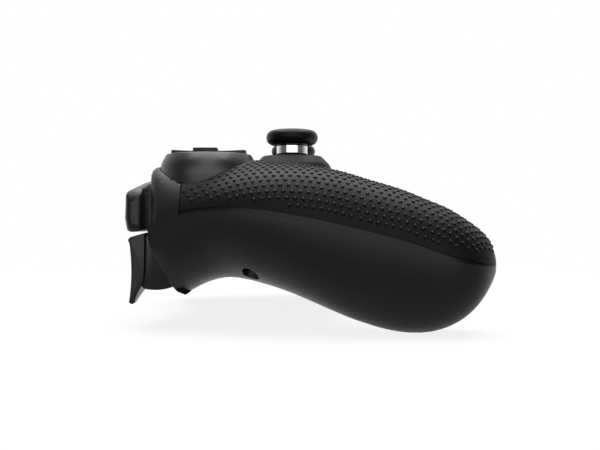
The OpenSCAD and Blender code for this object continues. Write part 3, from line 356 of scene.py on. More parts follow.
def plastic(name, colour, rough, grain=2600, depth=0.05, metal=0.0, blotch=0.12, spread=0.08, shine=0.2):
    """Moulded or drawn surface: faint blotches in the colour, uneven gloss and a fine grain."""
    made = bpy.data.materials.new(name)
    made.use_nodes = True
    t = made.node_tree
    shader = t.nodes["Principled BSDF"]
    place = t.nodes.new("ShaderNodeTexCoord")
    wide = t.nodes.new("ShaderNodeTexNoise")
    wide.inputs["Scale"].default_value = 90
    wide.inputs["Detail"].default_value = 4
    fine = t.nodes.new("ShaderNodeTexNoise")
    fine.inputs["Scale"].default_value = grain
    fine.inputs["Detail"].default_value = 3
    t.links.new(place.outputs["Object"], wide.inputs["Vector"])
    t.links.new(place.outputs["Object"], fine.inputs["Vector"])
    ramp = t.nodes.new("ShaderNodeValToRGB")
    ramp.color_ramp.elements[0].position = 0.3
    ramp.color_ramp.elements[1].position = 0.7
    ramp.color_ramp.elements[0].color = [c * (1 - blotch) for c in colour] + [1]
    ramp.color_ramp.elements[1].color = [min(1, c * (1 + blotch)) for c in colour] + [1]
    t.links.new(wide.outputs["Fac"], ramp.inputs["Fac"])
    t.links.new(ramp.outputs["Color"], shader.inputs["Base Color"])
    limits = (0.3, 0.7, max(0.03, rough - spread), min(1, rough + spread))
    t.links.new(map_range(t, fine.outputs["Fac"], limits), shader.inputs["Roughness"])
    bump = t.nodes.new("ShaderNodeBump")
    bump.inputs["Strength"].default_value = depth
    bump.inputs["Distance"].default_value = 0.0002
    t.links.new(fine.outputs["Fac"], bump.inputs["Height"])
    t.links.new(bump.outputs["Normal"], shader.inputs["Normal"])
    shader.inputs["Metallic"].default_value = metal
    shader.inputs["Specular IOR Level"].default_value = shine
    return made


def done(piece, material, slot, body, *nodes, angle=32):
    """Gives a finished piece its finish and its body, and hides the CAD nodes that it stands for."""
    bpy.ops.object.select_all(action="DESELECT")
    piece.select_set(True)
    bpy.context.view_layer.objects.active = piece
    bpy.ops.object.shade_smooth_by_angle(angle=math.radians(angle))
    piece.data.materials.clear()
    piece.data.materials.append(material)
    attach(piece, body)
    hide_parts(*nodes)


def capsule(x, y, length, width, z0, z1, turn=0.0, sides=32):
    """Upright bar with round ends: a disc whose halves are moved apart, then extruded."""
    bpy.ops.mesh.primitive_circle_add(vertices=sides, radius=width / 2 * MM, location=(0, 0, z0 * MM))
    made = bpy.context.object
    bpy.ops.object.mode_set(mode="EDIT")
    bpy.ops.mesh.select_mode(type="VERT")
    bpy.ops.mesh.select_all(action="DESELECT")
    bpy.ops.object.mode_set(mode="OBJECT")
    for v in made.data.vertices:
        v.select = v.co.x > 1e-7
    bpy.ops.object.mode_set(mode="EDIT")
    bpy.ops.transform.translate(value=((length - width) * MM, 0, 0))
    bpy.ops.mesh.select_all(action="SELECT")
    bpy.ops.transform.translate(value=(-(length - width) / 2 * MM, 0, 0))
    bpy.ops.mesh.edge_face_add()
    bpy.ops.mesh.extrude_region_move(TRANSFORM_OT_translate={"value": (0, 0, (z1 - z0) * MM)})
    bpy.ops.object.mode_set(mode="OBJECT")
    made.rotation_euler = (0, 0, math.radians(turn))
    made.location.x, made.location.y = x * MM, y * MM
    return settle(made)


SCREWS = ((61, 16.5, 22.5), (62.5, -43, 9.0))
POSTS, POST_TOP = ((30, -3), (31, 29)), 38.9
MOTOR, MOTOR_R = (60.5, -26.8, 20.0), 9.1
PIN, SWEEP_R, WINDOW_X = (45.6, 27.0), 15.8, (24.4, 56.6)
shell_black = plastic("shell_black", (0.0060, 0.0060, 0.0064), 0.38, shine=0.35)

lower = loft("lower_shell_skin", -1, front_round=0.7, lip_round=1.2)
cavity = loft("cavity", -1, inset=WALL, shift=6, fine=1, steps=40)
ribs = []
for s in (-1, 1):
    for x, y, seat in SCREWS:
        ribs.append(cylinder(s * x, y, -1, float(rail(SEAM, y)), 4.1, 2.9, 24))
    for x in (MOTOR[0] + 1.5, MOTOR[0] + 8):
        ribs.append(side_block(s, (x, x + 1.5), (MOTOR[1] - 9, MOTOR[1] + 9), (0, MOTOR[2])))
    for x, y in POSTS:
        ribs.append(cylinder(s * x, y, 0, POST_TOP, 2, None, 20))
    ribs.append(side_block(s, (20.3, 22.3), (34.5, 48.5), (0, 35.3)))
    ribs.append(side_block(s, (17, 18.6), (6, 28), (0, 21.2)))
cut(cavity, settle(*ribs))
cut(lower, cavity)
cut(lower, both(lambda s: rod(*span(s, *WINDOW_X), *PIN, SWEEP_R)))
cut(lower, both(lambda s: side_block(s, WINDOW_X, (40.6, 71), (22, 45))))
cut(lower, both(lambda s: rod(*span(s, MOTOR[0] - 0.1, MOTOR[0] + 11.1), *MOTOR[1:], MOTOR_R)))
for x, y, seat in SCREWS:
    cut(lower, both(lambda s: cylinder(s * x, y, -1, seat, 2.5, 2.3, 40)))
    if y > 0:
        cut(lower, both(lambda s: capsule(s * (x + 0.8), y, 6.4, 4.8, -1, 20.0)))
    cut(lower, both(lambda s: cylinder(s * x, y, seat - 1, 60, 1.3, None, 24)))
bpy.ops.mesh.primitive_cylinder_add(vertices=48, radius=3.4 * MM, depth=10 * MM, location=(0, -15 * MM, 24 * MM),
                                    rotation=(math.pi / 2, 0, 0))
cut(lower, settle(bpy.context.object))
cut(lower, settle(block((-3.5, -11.2, 20.5), (3.5, -2.3, 60))))
done(lower, shell_black, "shell_plastic", "housing", "lower_shell")

# ---------------------------------------------------------------- upper shell
# Moulded face plate of the same black ABS, with the flat shoulder blocks and the back edge.
# Recesses take the grip panels, and round openings take the pods and the stick rings.
POD, STICK, THROUGH = (46.0, 30.3), (26.0, 4.7), (38, 70)
MENU, MENU_TURN, HOME_AT, LIGHT_AT = (13.5, 27), -20, (0, 12), (0, 19.5)
PORT_Z = 37.3
GRIP_EDGE = [(60, 37), (46, 30.3), (41, 16), (36, 4.7), (33, -6), (30, -14), (28, -22), (28, -34), (28, -48),
             (28, -60)]


def outline(points, place, axis):
    """Flat face through points, square to one axis at a place along it; left in edit mode."""
    at = [(*p[:axis], place, *p[axis:]) for p in points]
    bpy.ops.object.select_all(action="DESELECT")
    bpy.ops.mesh.primitive_plane_add(size=MM, location=[c * MM for c in at[0]])
    bpy.ops.object.mode_set(mode="EDIT")
    bpy.ops.mesh.merge(type="CENTER")
    for a, b in zip(at, at[1:] + at[:1]):
        bpy.ops.mesh.extrude_vertices_move(TRANSFORM_OT_translate={"value": [(q - p) * MM for p, q in zip(a, b)]})
    bpy.ops.mesh.select_all(action="SELECT")
    bpy.ops.mesh.remove_doubles(threshold=1e-6)
    bpy.ops.mesh.edge_face_add()


def prism(points, low, high, axis):
    """Outline extruded between two places along one axis."""
    outline(points, low, axis)
    bpy.ops.mesh.extrude_region_move(
        TRANSFORM_OT_translate={"value": [(high - low) * MM * (k == axis) for k in range(3)]})
    bpy.ops.object.mode_set(mode="OBJECT")
    return settle(bpy.context.object)


def grip_prism(grow):
    """Upright prism over the zone of the right grip panel."""
    edge = [(x - grow, y) for x, y in GRIP_EDGE]
    edge[0] = (edge[0][0], edge[0][1] + grow)
    return prism(edge + [(100, edge[-1][1]), (100, edge[0][1])], 0, 100, 2)


def mirrored(piece, name):
    """A left-hand copy of a right-hand piece, with its own mesh."""
    bpy.ops.object.select_all(action="DESELECT")
    piece.select_set(True)
    bpy.context.view_layer.objects.active = piece
    bpy.ops.object.duplicate(linked=False)
    copy = bpy.context.object
    copy.name = name
    bpy.ops.transform.resize(value=(-1, 1, 1), center_override=(0, 0, 0))
    bpy.ops.object.transform_apply(location=True, rotation=True, scale=True)
    bpy.ops.object.mode_set(mode="EDIT")
    bpy.ops.mesh.select_all(action="SELECT")
    bpy.ops.mesh.normals_make_consistent(inside=False)
    bpy.ops.object.mode_set(mode="OBJECT")
    return copy


upper = loft("upper_shell_skin", 1, front_round=1.8, rise=0.04)
cavity = loft("cavity", 1, inset=WALL, shift=6, fine=1, steps=40)
for s in (-1, 1):
    for x, y, seat in SCREWS:
        low = float(rail(SEAM, y))
        cut(cavity, settle(cylinder(s * x, y, low, low + 21, 2.6, 3.2, 24)))
cut(upper, cavity)
for x, y, r in ((*POD, 15.2), (*STICK, 13.5)):
    cut(upper, both(lambda s: cylinder(s * x, y, 40.6, 70, r, None, 96)))
cut(upper, both(lambda s: side_block(s, (26, 54.5), (40.5, 60), (0, 43.2))))
for x, y, seat in SCREWS:
    cut(upper, both(lambda s: cylinder(s * x, y, 0, 40 if y > 0 else 28, 1.2, None, 24)))
for s in (-1, 1):
    cut(upper, capsule(s * MENU[0], MENU[1], 8.6, 4.2, *THROUGH, MENU_TURN * s))
cut(upper, settle(cylinder(*HOME_AT, *THROUGH, 4.8, None, 64)))
cut(upper, capsule(*LIGHT_AT, 8.2, 1.8, *THROUGH))
slot = capsule(0, 0, 9.1, 3.4, 0, 14)
slot.rotation_euler = (math.radians(-90), 0, 0)
slot.location = (0, 40 * MM, PORT_Z * MM)
cut(upper, settle(slot))
recess = grip_prism(0.1)
cut(recess, loft("recess_floor", 1, inset=1.3, shift=6, fine=2, steps=60))
cut(upper, mirrored(recess, "recess_left"))
cut(upper, recess)
done(upper, shell_black, "shell_plastic", "housing", "upper_shell", angle=52)

# ---------------------------------------------------------------- grip panels
# Soft black rubber moulded over the upper side of each grip, 1.2 mm thick, from the shoulder
# block to the grip's end. Its outer face carries staggered rows of small raised dots.
rubber = plastic("grip_rubber", (0.0036, 0.0036, 0.0038), 0.46, grain=1800, depth=0.06, shine=0.12)
dot_rubber = plastic("dot_rubber", (0.0034, 0.0034, 0.0036), 0.36, grain=1800, depth=0.02, shine=0.16)
POD_R, RING_R, GRIP_GAP, PANEL = 15.1, 13.4, 0.35, 1.2
DOT_RINGS, DOT_TOP, DOT_SIDES = ((0.70, -0.15), (0.52, 0.25)), 0.38, 6
DOT_START, DOT_FRONT, DOT_END = 36.4, 36.2, TIP_Y + 1.5

grip = loft("grip_right", 1, rise=PANEL, front_round=1.6)
skin_tree = BVHTree.FromObject(grip, bpy.context.evaluated_depsgraph_get())
cut(grip, loft("grip_inside", 1, inset=PANEL, shift=6, fine=1, steps=48))
cut(grip, grip_prism(-0.25), "INTERSECT")
cut(grip, settle(cylinder(*POD, 30, 70, POD_R + GRIP_GAP, None, 96)))
cut(grip, settle(cylinder(*STICK, 30, 70, RING_R + GRIP_GAP, None, 96)))
grip_left = mirrored(grip, "grip_left")
done(grip, rubber, "grip_rubber", "housing", "grip_panel_right")
done(grip_left, rubber, "grip_rubber", "housing", "grip_panel_left")


def crest_at(y):
    """Height of the skin's highest line at one place along the pad."""
    base = rail(SEAM, y)
    return base + (rail(CREST, y) - base) * end_arc(np.asarray(y, float), TOP_END, 0)


def edge_x(y):
    """Inner edge of the grip panel at one place along the pad."""
    pts = sorted((b, a) for a, b in GRIP_EDGE)
    return float(np.interp(y, [q[0] for q in pts], [q[1] for q in pts]))


def dot_places(pitch=2.4, row=2.1, band=2.3):
    """Walks over the skin in planes square to the crest and notes a staggered grid of places."""
    bend = 0.9 * TIP_Y
    ys = np.concatenate([np.linspace(DOT_START, bend, 400), np.linspace(bend, TIP_Y + 0.02, 200)[1:]])
    zs = crest_at(ys)
    run = np.concatenate([[0], np.cumsum(np.hypot(np.diff(ys), np.diff(zs)))])
    found = []
    column = 0
    while column * pitch / 2 < run[-1]:
        at = column * pitch / 2
        y, z = float(np.interp(at, run, ys)), float(np.interp(at, run, zs))
        i = min(int(np.searchsorted(run, at)), len(ys) - 2)
        along = Vector((0, ys[i + 1] - ys[i], zs[i + 1] - zs[i])).normalized()
        away = Vector((0, -along.z, along.y))
        if away.z < 0 or (abs(away.z) < 1e-6 and away.y > 0):
            away = -away
        t = min(1, max(0, (y + 20) / 56))
        x0 = GRIP_X - 6 * t * t * (3 - 2 * t)
        start = Vector((x0, y, z)) + away * 25
        hit, normal, _, _ = skin_tree.ray_cast(start * MM, -away)
        for way in (1, -1) if hit is not None else ():
            spot, lean, last = hit / MM, normal, Vector((way, 0, 0))
            walked, target = 0.0, row * (column % 2) if way > 0 else row * (2 - column % 2)
            while walked < 60:
                if target - walked < 1e-6:
                    target += 2 * row
                    flat = (spot.x, spot.y)
                    clear = min(math.dist(flat, POD) - POD_R, math.dist(flat, STICK) - RING_R)
                    if spot.z - float(rail(SEAM, spot.y)) - PANEL < band:
                        break
                    if spot.x > edge_x(spot.y) + 1.1 and clear > 1.15 and DOT_END < spot.y < DOT_FRONT:
                        found.append((spot.copy(), lean.copy()))
                step = min(0.3, target - walked)
                ahead = along.cross(lean).normalized()
                last = ahead if ahead.dot(last) > 0 else -ahead
                near, lean, _, _ = skin_tree.find_nearest((spot + last * step) * MM)
                spot = near / MM
                walked += step
        column += 1
    return found


def dots(name, places, side):
    """Low domes of twelve faces, set square to the skin."""
    verts, faces = [], []
    for spot, lean in places:
        across = lean.cross(Vector((0.3, 0.9, 0.2))).normalized()
        up = across.cross(lean)
        first = len(verts)
        for r, h in DOT_RINGS:
            for k in range(DOT_SIDES):
                a = math.radians(360 / DOT_SIDES * k)
                q = spot + (across * math.cos(a) + up * math.sin(a)) * r + lean * h
                verts.append((q.x * side * MM, q.y * MM, q.z * MM))
        q = spot + lean * DOT_TOP
        verts.append((q.x * side * MM, q.y * MM, q.z * MM))
        upper_ring, top = first + DOT_SIDES, first + 2 * DOT_SIDES
        for k in range(DOT_SIDES):
            n = (k + 1) % DOT_SIDES
            faces.append((first + k, first + n, upper_ring + n, upper_ring + k))
            faces.append((upper_ring + k, upper_ring + n, top))
        faces.append(tuple(range(upper_ring - 1, first - 1, -1)))
    mesh = bpy.data.meshes.new(name)
    mesh.from_pydata(verts, [], faces)
    made = bpy.data.objects.new(name, mesh)
    bpy.context.collection.objects.link(made)
    settle(made)
    for f in made.data.polygons:
        f.use_smooth = True
    made.data.materials.append(dot_rubber)
    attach(made, "housing")


places = dot_places()
dots("grip_dots_right", places, 1)
dots("grip_dots_left", places, -1)

# ---------------------------------------------------------------- round pods
# Two moulded rings of black ABS with a sloping outer wall and a floor, set into the face plate.
# The left one is pierced for the four-way cross, the right one for the face buttons.
# The pods take a copy of the shell plastic that is glossier and a little lighter: a painted highlight on their walls.
pod_black_painted_highlight = plastic("pod_black_painted_highlight", (0.0065, 0.0065, 0.0069), 0.36, grain=3200, depth=0.02, shine=0.8)


def rounded(points, radius, steps=3, closed=False):
    """A polyline whose corners are eased by a small mould radius, given once or per corner."""
    out = []
    count = len(points)
    for i, p in enumerate(points):
        r = radius[i] if isinstance(radius, (list, tuple)) else radius
        if r <= 0 or (not closed and i in (0, count - 1)):
            out.append(p)
            continue
        a, b = Vector(points[i - 1]), Vector(points[(i + 1) % count])
        c = Vector(p)
        t = min(r, 0.45 * (a - c).length, 0.45 * (b - c).length)
        q0, q1 = c + (a - c).normalized() * t, c + (b - c).normalized() * t
        for k in range(steps + 1):
            f = k / steps
            out.append(tuple(q0 * (1 - f) ** 2 + c * 2 * f * (1 - f) + q1 * f * f))
    return out


def arc(cx, cy, r, a0, a1, n):
    """Points along a circle from one angle to another."""
    turns = [math.radians(a0 + (a1 - a0) * i / n) for i in range(n + 1)]
    return [(cx + r * math.cos(a), cy + r * math.sin(a)) for a in turns]


def turned(name, profile, place, steps=96, ring=False):
    """Round piece: a profile of [radius, height] extruded point by point, then spun about Z."""
    x, y = place
    bpy.ops.object.select_all(action="DESELECT")
    bpy.ops.mesh.primitive_plane_add(size=MM, location=((x + profile[0][0]) * MM, y * MM, profile[0][1] * MM))
    made = bpy.context.object
    made.name = name
    bpy.ops.object.mode_set(mode="EDIT")
    bpy.ops.mesh.merge(type="CENTER")
    ends = list(profile[1:]) + ([profile[0]] if ring else [])
    last = profile[0]
    for q in ends:
        bpy.ops.mesh.extrude_vertices_move(
            TRANSFORM_OT_translate={"value": ((q[0] - last[0]) * MM, 0, (q[1] - last[1]) * MM)})
        last = q
    bpy.ops.mesh.select_all(action="SELECT")
    bpy.ops.mesh.remove_doubles(threshold=1e-6)
    bpy.ops.mesh.spin(steps=steps, angle=2 * math.pi, center=(x * MM, y * MM, 0), axis=(0, 0, 1))
    bpy.ops.mesh.select_all(action="SELECT")
    bpy.ops.mesh.remove_doubles(threshold=1e-6)
    bpy.ops.mesh.normals_make_consistent(inside=False)
    bpy.ops.object.mode_set(mode="OBJECT")
    bpy.ops.object.transform_apply(location=True, rotation=True, scale=True)
    return made


POD_FACE = rounded(
    [(0, 49.0), (0, 50.2), (12.4, 50.2), (12.6, 52.75), (12.9, 53.0), (13.15, 52.9), (14.7, 50.2), (15.1, 47.2),
     (14.8, 42.2), (14.0, 41.6), (14.0, 40.8), (12.6, 40.8), (12.6, 49.0)],
    [0, 0, 0.25, 0.2, 0.3, 0.5, 1.4, 1.2, 0.4, 0.2, 0.1, 0.1, 0.1])


ARM_HALF, ARM_R, ARM_LONG, BUTTON_OUT = 3.65, 11.65, 14, 8


def cross_bars(grow, z0, z1):
    """Four-armed bar: two crossing boxes, rounded off to a circle at their ends."""
    half = ARM_HALF + grow
    arms = settle(block((-ARM_LONG, -half, z0), (ARM_LONG, half, z1)))
    cut(arms, settle(block((-half, -ARM_LONG, z0), (half, ARM_LONG, z1))), "UNION")
    cut(arms, settle(cylinder(0, 0, z0 - 1, z1 + 1, ARM_R + grow, None, 96)), "INTERSECT")
    return arms


def button_at(a):
    """Place of a face button on the right pod, by its direction."""
    a = math.radians(a)
    return POD[0] + BUTTON_OUT * math.cos(a), POD[1] + BUTTON_OUT * math.sin(a)


pod_left = turned("dpad_pod", POD_FACE, (-POD[0], POD[1]), 128)
tool = cross_bars(0.6, 46, 54)
tool.location = (-POD[0] * MM, POD[1] * MM, 0)
cut(pod_left, settle(tool))
done(pod_left, pod_black_painted_highlight, "shell_plastic", "housing", "dpad_bezel")
pod_right = turned("button_pod", POD_FACE, POD, 128)
for a in (0, 90, 180, 270):
    cut(pod_right, settle(cylinder(*button_at(a), 46, 54, 4.1, None, 64)))
done(pod_right, pod_black_painted_highlight, "shell_plastic", "housing", "button_bezel")

# ---------------------------------------------------------------- four-way cross
# One moulded cross of black plastic, dished a little, that rocks on a spider under the pod.
# Its arms stand above the pod's rim; a round flange under the floor keeps it in.
key_black = plastic("key_black", (0.0070, 0.0070, 0.0073), 0.36, grain=3400, depth=0.025, shine=0.3)
CROSS_LOW, CROSS_TOP, DISH_R, DISH_DEEP = 46.6, 54.5, 180, 0.5


def eased(piece, width, segments, angle):
    """Bevels the sharp edges of a piece."""
    bpy.ops.object.select_all(action="DESELECT")
    piece.select_set(True)
    bpy.context.view_layer.objects.active = piece
    ease = piece.modifiers.new("ease", "BEVEL")
    ease.width = width * MM
    ease.segments = segments
    ease.limit_method = "ANGLE"
    ease.angle_limit = math.radians(angle)
    bpy.ops.object.modifier_apply(modifier=ease.name)
    return piece


cross = cross_bars(0, CROSS_LOW, CROSS_TOP)
bpy.ops.mesh.primitive_uv_sphere_add(segments=128, ring_count=256, radius=DISH_R * MM,
                                     location=(0, 0, (CROSS_TOP + DISH_R - DISH_DEEP) * MM))
cut(cross, settle(bpy.context.object))
eased(cross, 0.45, 3, 50)
cut(cross, settle(cylinder(0, 0, CROSS_LOW, CROSS_LOW + 1, 10.75, None, 96)), "UNION")
for x in (-3.3, 3.3):
    cut(cross, settle(block((x - 0.7, -1.8, 42.9), (x + 0.7, 1.8, 46.7))), "UNION")
cut(cross, settle(rod(-12, 12, 0, 44.4, 1.0)))
cross.name = "cross"
cross.location = (-POD[0] * MM, POD[1] * MM, 0)
done(settle(cross), key_black, "key_plastic", "dpad", "dpad_cross")

# ---------------------------------------------------------------- face buttons
# Four round keys of black plastic with softly domed tops, pressed against a rubber mat.
# Each has a flange that stops it under the pod's floor.
BUTTON = [(0, 45.0), (3.8, 45.0), (3.8, 47.5), (4.3, 47.5), (4.3, 48.7), (3.8, 48.7)] + \
    arc(2.7, 53.6, 1.1, 0, 76, 8) + [(2.0, 54.87), (1.2, 54.96), (0, 55.0)]
for name, a in (("up", 90), ("right", 0), ("down", 270), ("left", 180)):
    key = turned("button_" + name + "_key", BUTTON, button_at(a), 64)
    done(key, key_black, "key_plastic", "button_" + name, "face_button_" + name)

# ---------------------------------------------------------------- thumbsticks
# Each stick: a moulded shaft with a dome that closes the ring, a bright plated collar pushed on
# over the neck, and a rolled-edge cap of soft rubber. The raised ring is part of the housing.
cap_rubber = plastic("cap_rubber", (0.0040, 0.0040, 0.0042), 0.34, grain=2400, depth=0.03, spread=0.06, shine=0.14)
# The raised rings take a copy of the shell plastic that is darker and duller: painted shade on the rings.
ring_black_painted_shade = plastic("ring_black_painted_shade", (0.0050, 0.0050, 0.0053), 0.45, grain=3000, depth=0.02, shine=0.12)
stick_black = plastic("stick_black", (0.0070, 0.0070, 0.0073), 0.4, grain=3000, depth=0.02)
chrome = plastic("collar_chrome", (0.78, 0.79, 0.80), 0.14, grain=1500, depth=0.01, metal=1.0, blotch=0.04,
                 spread=0.05, shine=0.5)
PIVOT = (0, 46.5)
RING = rounded(
    [(8.5, 52.0), (9.3, 54.2), (9.8, 54.15), (12.6, 51.4), (13.4, 49.5), (13.4, 40.8), (12.0, 40.8), (12.0, 48.1)],
    [0.3, 0.35, 0.5, 1.5, 0.5, 0.1, 0.1, 0], closed=True) + arc(*PIVOT, 7.3, 22, 43, 8) + [(5.3, 52.2)]
SHAFT = [(0, 44.0), (1.5, 44.0), (1.5, 52.2)] + arc(*PIVOT, 6.1, 74, 32, 10) + arc(*PIVOT, 6.9, 32, 68, 10) + \
    [(2.6, 53.5), (2.6, 60.3), (0, 60.3)]
COLLAR = rounded([(2.65, 54.8), (5.0, 54.8), (5.125, 55.15), (5.125, 57.65), (5.0, 57.9), (2.65, 57.9)], 0.12,
                 closed=True)
CAP = [(2.65, 57.9), (4.4, 57.9)] + arc(6.1, 60.43, 2.53, -90, 62, 22) + \
    [(6.7, 62.84), (6.0, 62.98), (5.0, 62.94), (3.6, 62.76), (1.8, 62.64), (0, 62.6), (0, 60.4), (2.65, 60.4)]
for side, s in (("left", -1), ("right", 1)):
    at = (s * STICK[0], STICK[1])
    done(turned("ring_" + side, RING, at, 128, ring=True), ring_black_painted_shade, "shell_plastic", "housing",
         "stick_ring_" + side)
    done(turned("shaft_" + side, SHAFT, at, 96), stick_black, "stick_plastic", "stick_" + side, "stick_shaft_" + side)
    done(turned("collar_" + side, COLLAR, at, 128, ring=True), chrome, "collar_chrome", "stick_" + side,
         "stick_collar_" + side)
    done(turned("cap_" + side, CAP, at, 128), cap_rubber, "cap_rubber", "stick_" + side, "stick_cap_" + side)

# ---------------------------------------------------------------- bumpers
# Upper shoulder keys of black ABS: a curved bar with round ends before each shoulder block. Its
# neck runs back through the block's opening, where a tongue pushes the switch.
shoulder_black = plastic("shoulder_black", (0.0060, 0.0060, 0.0063), 0.32, grain=3000, depth=0.008, spread=0.05,
                         shine=0.4)
BUMPER_IN, BUMPER_OUT, BUMPER_REAR = 24, 58.4, 50.3
BUMPER_LOW, BUMPER_END, BUMPER_CROWN, BUMPER_EDGE = 29.2, 2.2, 4.2, 1.3


def swollen(points, r, steps):
    """Outline a set distance outside a convex outline, round at the corners."""
    out = []
    for i, p in enumerate(points):
        a, b = points[i - 1], points[(i + 1) % len(points)]
        first = math.degrees(math.atan2(p[1] - a[1], p[0] - a[0])) - 90
        last = math.degrees(math.atan2(b[1] - p[1], b[0] - p[0])) - 90
        out += arc(*p, r, first, first + (last - first) % 360, steps)
    return out


def bumper_box(x):
    """Lowest and highest Y and Z of the bar at one place, drawn in where its ends are round."""
    rear = BUMPER_REAR - FRONT_BOW * (x / BOW_X) ** 2
    marks = (BUMPER_IN, 40.2, 56, BUMPER_OUT)
    deep = float(np.interp(x, marks, (4.5, 4.86, 5.4, 5.1)))
    top = float(np.interp(x, marks, (46.3, 44.7, 42.5, 42.0)))
    drawn = []
    for r in (BUMPER_END, BUMPER_CROWN):
        into = max(0, r - min(x - BUMPER_IN, BUMPER_OUT - x))
        drawn.append(r - math.sqrt(r ** 2 - into ** 2))
    draw, crown = drawn
    return np.array((rear + draw, BUMPER_LOW + draw)), np.array((rear + deep - draw, top - crown))


(y0, z0), (y1, z1) = bumper_box(40)
bar = [(y0 + BUMPER_EDGE, z0 + 1.8), (y1 - 1.8, z0 + BUMPER_EDGE), (y1 - BUMPER_EDGE, z0 + 5), (y1 - 1.5, z1 - 2.4),
       (y0 + BUMPER_EDGE, z1 - BUMPER_EDGE)]
bar = np.array(swollen(bar, BUMPER_EDGE, 5))
bar = (bar - bar.min(axis=0)) / (bar.max(axis=0) - bar.min(axis=0))
ends = [BUMPER_END * (1 - math.cos(math.radians(a))) for a in (0, 18, 34, 48, 62, 76, 90)]
cuts = [BUMPER_IN + e for e in ends] + [27, 28.2] + list(np.linspace(30, 53, 9)) + [54.2, 55.4]
cuts += [BUMPER_OUT - e for e in ends[::-1]]
low, high = bumper_box(cuts[0])
outline([tuple(q) for q in low + bar * (high - low)], cuts[0], 0)
for before, x in zip(cuts, cuts[1:]):
    (a0, a1), (b0, b1) = bumper_box(before), bumper_box(x)
    middle, grown = (a0 + a1) / 2, (b1 - b0) / (a1 - a0)
    bpy.ops.mesh.extrude_region_move(TRANSFORM_OT_translate={"value": ((x - before) * MM, 0, 0)})
    bpy.ops.transform.resize(value=(1, *grown), center_override=(x * MM, *(middle * MM)))
    bpy.ops.transform.translate(value=(0, *(((b0 + b1) / 2 - middle) * MM)))
bpy.ops.object.mode_set(mode="OBJECT")
bumper = settle(bpy.context.object)
NECK = [(46.1, 31.7), (47.9, 31.7), (47.9, 29.9), (50.7, 29.9), (50.7, 39.7), (49.3, 40.5), (47.5, 41.8),
        (46.1, 41.0)]
cut(bumper, prism(NECK, 26.3, 51.5, 0), "UNION")
cut(bumper, settle(block((36, 41.9, 34.7), (46, 46.3, 38.7))), "UNION")
bumper.name = "bumper_right_key"
bumper_left = mirrored(bumper, "bumper_left_key")
done(bumper, shoulder_black, "key_plastic", "right_bumper", "bumper_right")
done(bumper_left, shoulder_black, "key_plastic", "left_bumper", "bumper_left")

# ---------------------------------------------------------------- triggers
# Lower shoulder keys of black ABS: a hollow-faced blade for the finger on an arc-shaped body that
# turns on a steel pin. A slot beside the hub leaves room for the return spring.
BLADE = [(48.3, 29)] + arc(52.3, 26.5, 1.3, 70, 5, 5) + arc(114.6, 17.4, 62, 172.2, 187.6, 11) + \
    arc(52.4, 8.6, 1.0, -20, -140, 5) + [(50.6, 10.9), (49.2, 13.6), (48.5, 17.1)]
ARC_BODY = arc(*PIN, 2.6, 40, 180, 10) + arc(*PIN, 15.3, -128, -76, 18) + [(51, 15), (50.6, 27.8)]
LOWER_EDGE = [(25, -1), (54, -1), (54, 7.6), (46, 10.8), (30, 13.8), (25, 15.5)]


def capped(points, low, high, r):
    """Outline extruded along X, with both ends rounded by a row of insets."""
    made = prism(points, low + r, high - r, 0)
    for end in (-1, 1):
        bpy.ops.object.mode_set(mode="EDIT")
        bpy.ops.mesh.select_mode(type="FACE")
        bpy.ops.mesh.select_all(action="DESELECT")
        bpy.ops.object.mode_set(mode="OBJECT")
        for f in made.data.polygons:
            f.select = f.normal.x * end > 0.99
        bpy.ops.object.mode_set(mode="EDIT")
        turns = [math.radians(a) for a in (0, 25, 48, 68, 90)]
        for a, b in zip(turns, turns[1:]):
            bpy.ops.mesh.inset(thickness=r * (math.cos(a) - math.cos(b)) * MM,
                               depth=r * (math.sin(b) - math.sin(a)) * MM)
        bpy.ops.mesh.select_mode(type="VERT")
        bpy.ops.object.mode_set(mode="OBJECT")
    return settle(made)


trigger = capped(BLADE, 26, 56, 0.6)
cut(trigger, prism(LOWER_EDGE, 48.6, 60, 1))
cut(trigger, eased(prism(ARC_BODY, 26.3, 54.5, 0), 0.5, 3, 40), "UNION")
cut(trigger, settle(rod(20, 60, *PIN, 1.25, 32)))
cut(trigger, settle(rod(29.5, 35.5, *PIN, 3.4, 48)))
trigger.name = "trigger_right_key"
trigger_left = mirrored(trigger, "trigger_left_key")
done(trigger, shoulder_black, "key_plastic", "right_trigger", "trigger_right")
done(trigger_left, shoulder_black, "key_plastic", "left_trigger", "trigger_left")

# ---------------------------------------------------------------- centre keys and light
# Two slanting menu bars and a round home key of black plastic, each with a flange under the face
# plate and a stem over its switch. Between them a milky light pipe shows the charge.
for side, s in (("left", -1), ("right", 1)):
    at, turn = (s * MENU[0], MENU[1]), MENU_TURN * s
    key = eased(capsule(*at, 8, 3.6, 45.6, 52.0, turn), 0.55, 3, 60)
    cut(key, capsule(*at, 9.6, 5.2, 45.6, 46.6, turn), "UNION")
    cut(key, settle(cylinder(*at, 43.5, 46.1, 1.5, None, 24)), "UNION")
    key.name = "menu_" + side + "_cap"
    done(key, key_black, "key_plastic", "menu_" + side + "_key", "menu_button_" + side)
HOME = [(0, 43.5), (1.6, 43.5), (1.6, 45.6), (5.3, 45.6), (5.3, 46.6), (4.5, 46.6)] + \
    arc(3.9, 51.0, 0.6, 0, 80, 6) + [(2.4, 51.66), (0, 51.7)]
done(turned("home_cap", HOME, HOME_AT, 96), key_black, "key_plastic", "home_key", "home_button")
pipe = plastic("milky_pipe", (0.62, 0.66, 0.70), 0.3, grain=1200, depth=0.01, shine=0.5)
pipe.node_tree.nodes["Principled BSDF"].inputs["Transmission Weight"].default_value = 0.35
light = eased(capsule(*LIGHT_AT, 8, 1.6, 40.7, 51.2), 0.25, 2, 60)
light.name = "light_bar"
done(light, pipe, "light_pipe", "housing", "status_light")

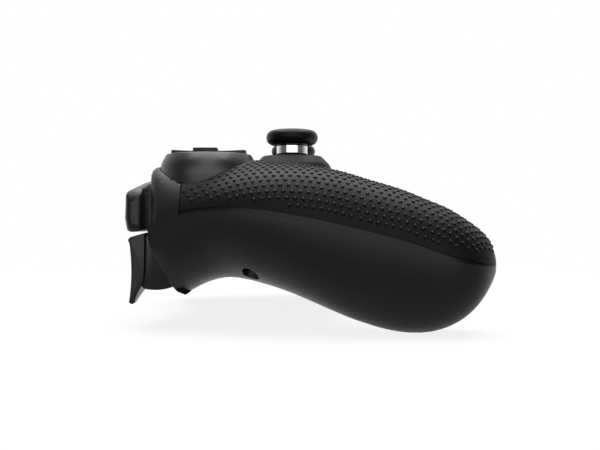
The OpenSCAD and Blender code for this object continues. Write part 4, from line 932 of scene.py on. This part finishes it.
# ---------------------------------------------------------------- inner parts and ports
# What the shells hide keeps the CAD's shape: the sensor modules, the board, the cell, the mats, the
# trigger ironwork and the motors. So do the screws and the two sockets. Each takes its own finish.
zinc = plastic("zinc_steel", (0.56, 0.57, 0.58), 0.34, grain=1600, depth=0.02, metal=1.0, blotch=0.06, shine=0.5)
spring = plastic("spring_steel", (0.42, 0.42, 0.43), 0.26, grain=2600, depth=0.02, metal=1.0, blotch=0.08, shine=0.5)
weight = plastic("sintered_weight", (0.36, 0.33, 0.29), 0.5, grain=1400, depth=0.1, metal=1.0, blotch=0.15, shine=0.5)
nylon = plastic("nylon_grey", (0.060, 0.062, 0.066), 0.5, grain=1800, depth=0.05, shine=0.4)
acetal = plastic("acetal_white", (0.62, 0.61, 0.57), 0.38, grain=1800, depth=0.03, blotch=0.05, shine=0.5)
mask = plastic("solder_mask", (0.010, 0.062, 0.030), 0.36, grain=700, depth=0.08, blotch=0.3, shine=0.5)
wrap = plastic("cell_wrap", (0.030, 0.110, 0.260), 0.3, grain=500, depth=0.06, blotch=0.1, shine=0.5)
mat = plastic("contact_silicone", (0.30, 0.29, 0.27), 0.6, grain=1500, depth=0.05, blotch=0.06, shine=0.4)
socket = plastic("socket_black", (0.012, 0.012, 0.013), 0.45, grain=2000, depth=0.04, shine=0.4)
FINISHES = (
    (zinc, ("housing_screws", "usb_port", "rumble_motor_left", "rumble_motor_right", "stick_module_left",
            "stick_module_right", "trigger_pin_left", "trigger_pin_right")),
    (spring, ("trigger_spring_left", "trigger_spring_right")),
    (weight, ("rumble_weight_left", "rumble_weight_right")),
    (nylon, ("stick_rocker_left", "stick_rocker_right", "trigger_bracket_left", "trigger_bracket_right",
             "dpad_seat")),
    (acetal, ("stick_gimbal_left", "stick_gimbal_right", "dpad_pivot")),
    (mask, ("main_board",)), (wrap, ("battery_pack",)), (mat, ("dpad_membrane", "button_membrane")),
    (socket, ("headset_jack", "centre_switches", "bumper_switches")),
)
for finish, names in FINISHES:
    for name in names:
        cad[name].data.materials.clear()
        cad[name].data.materials.append(finish)
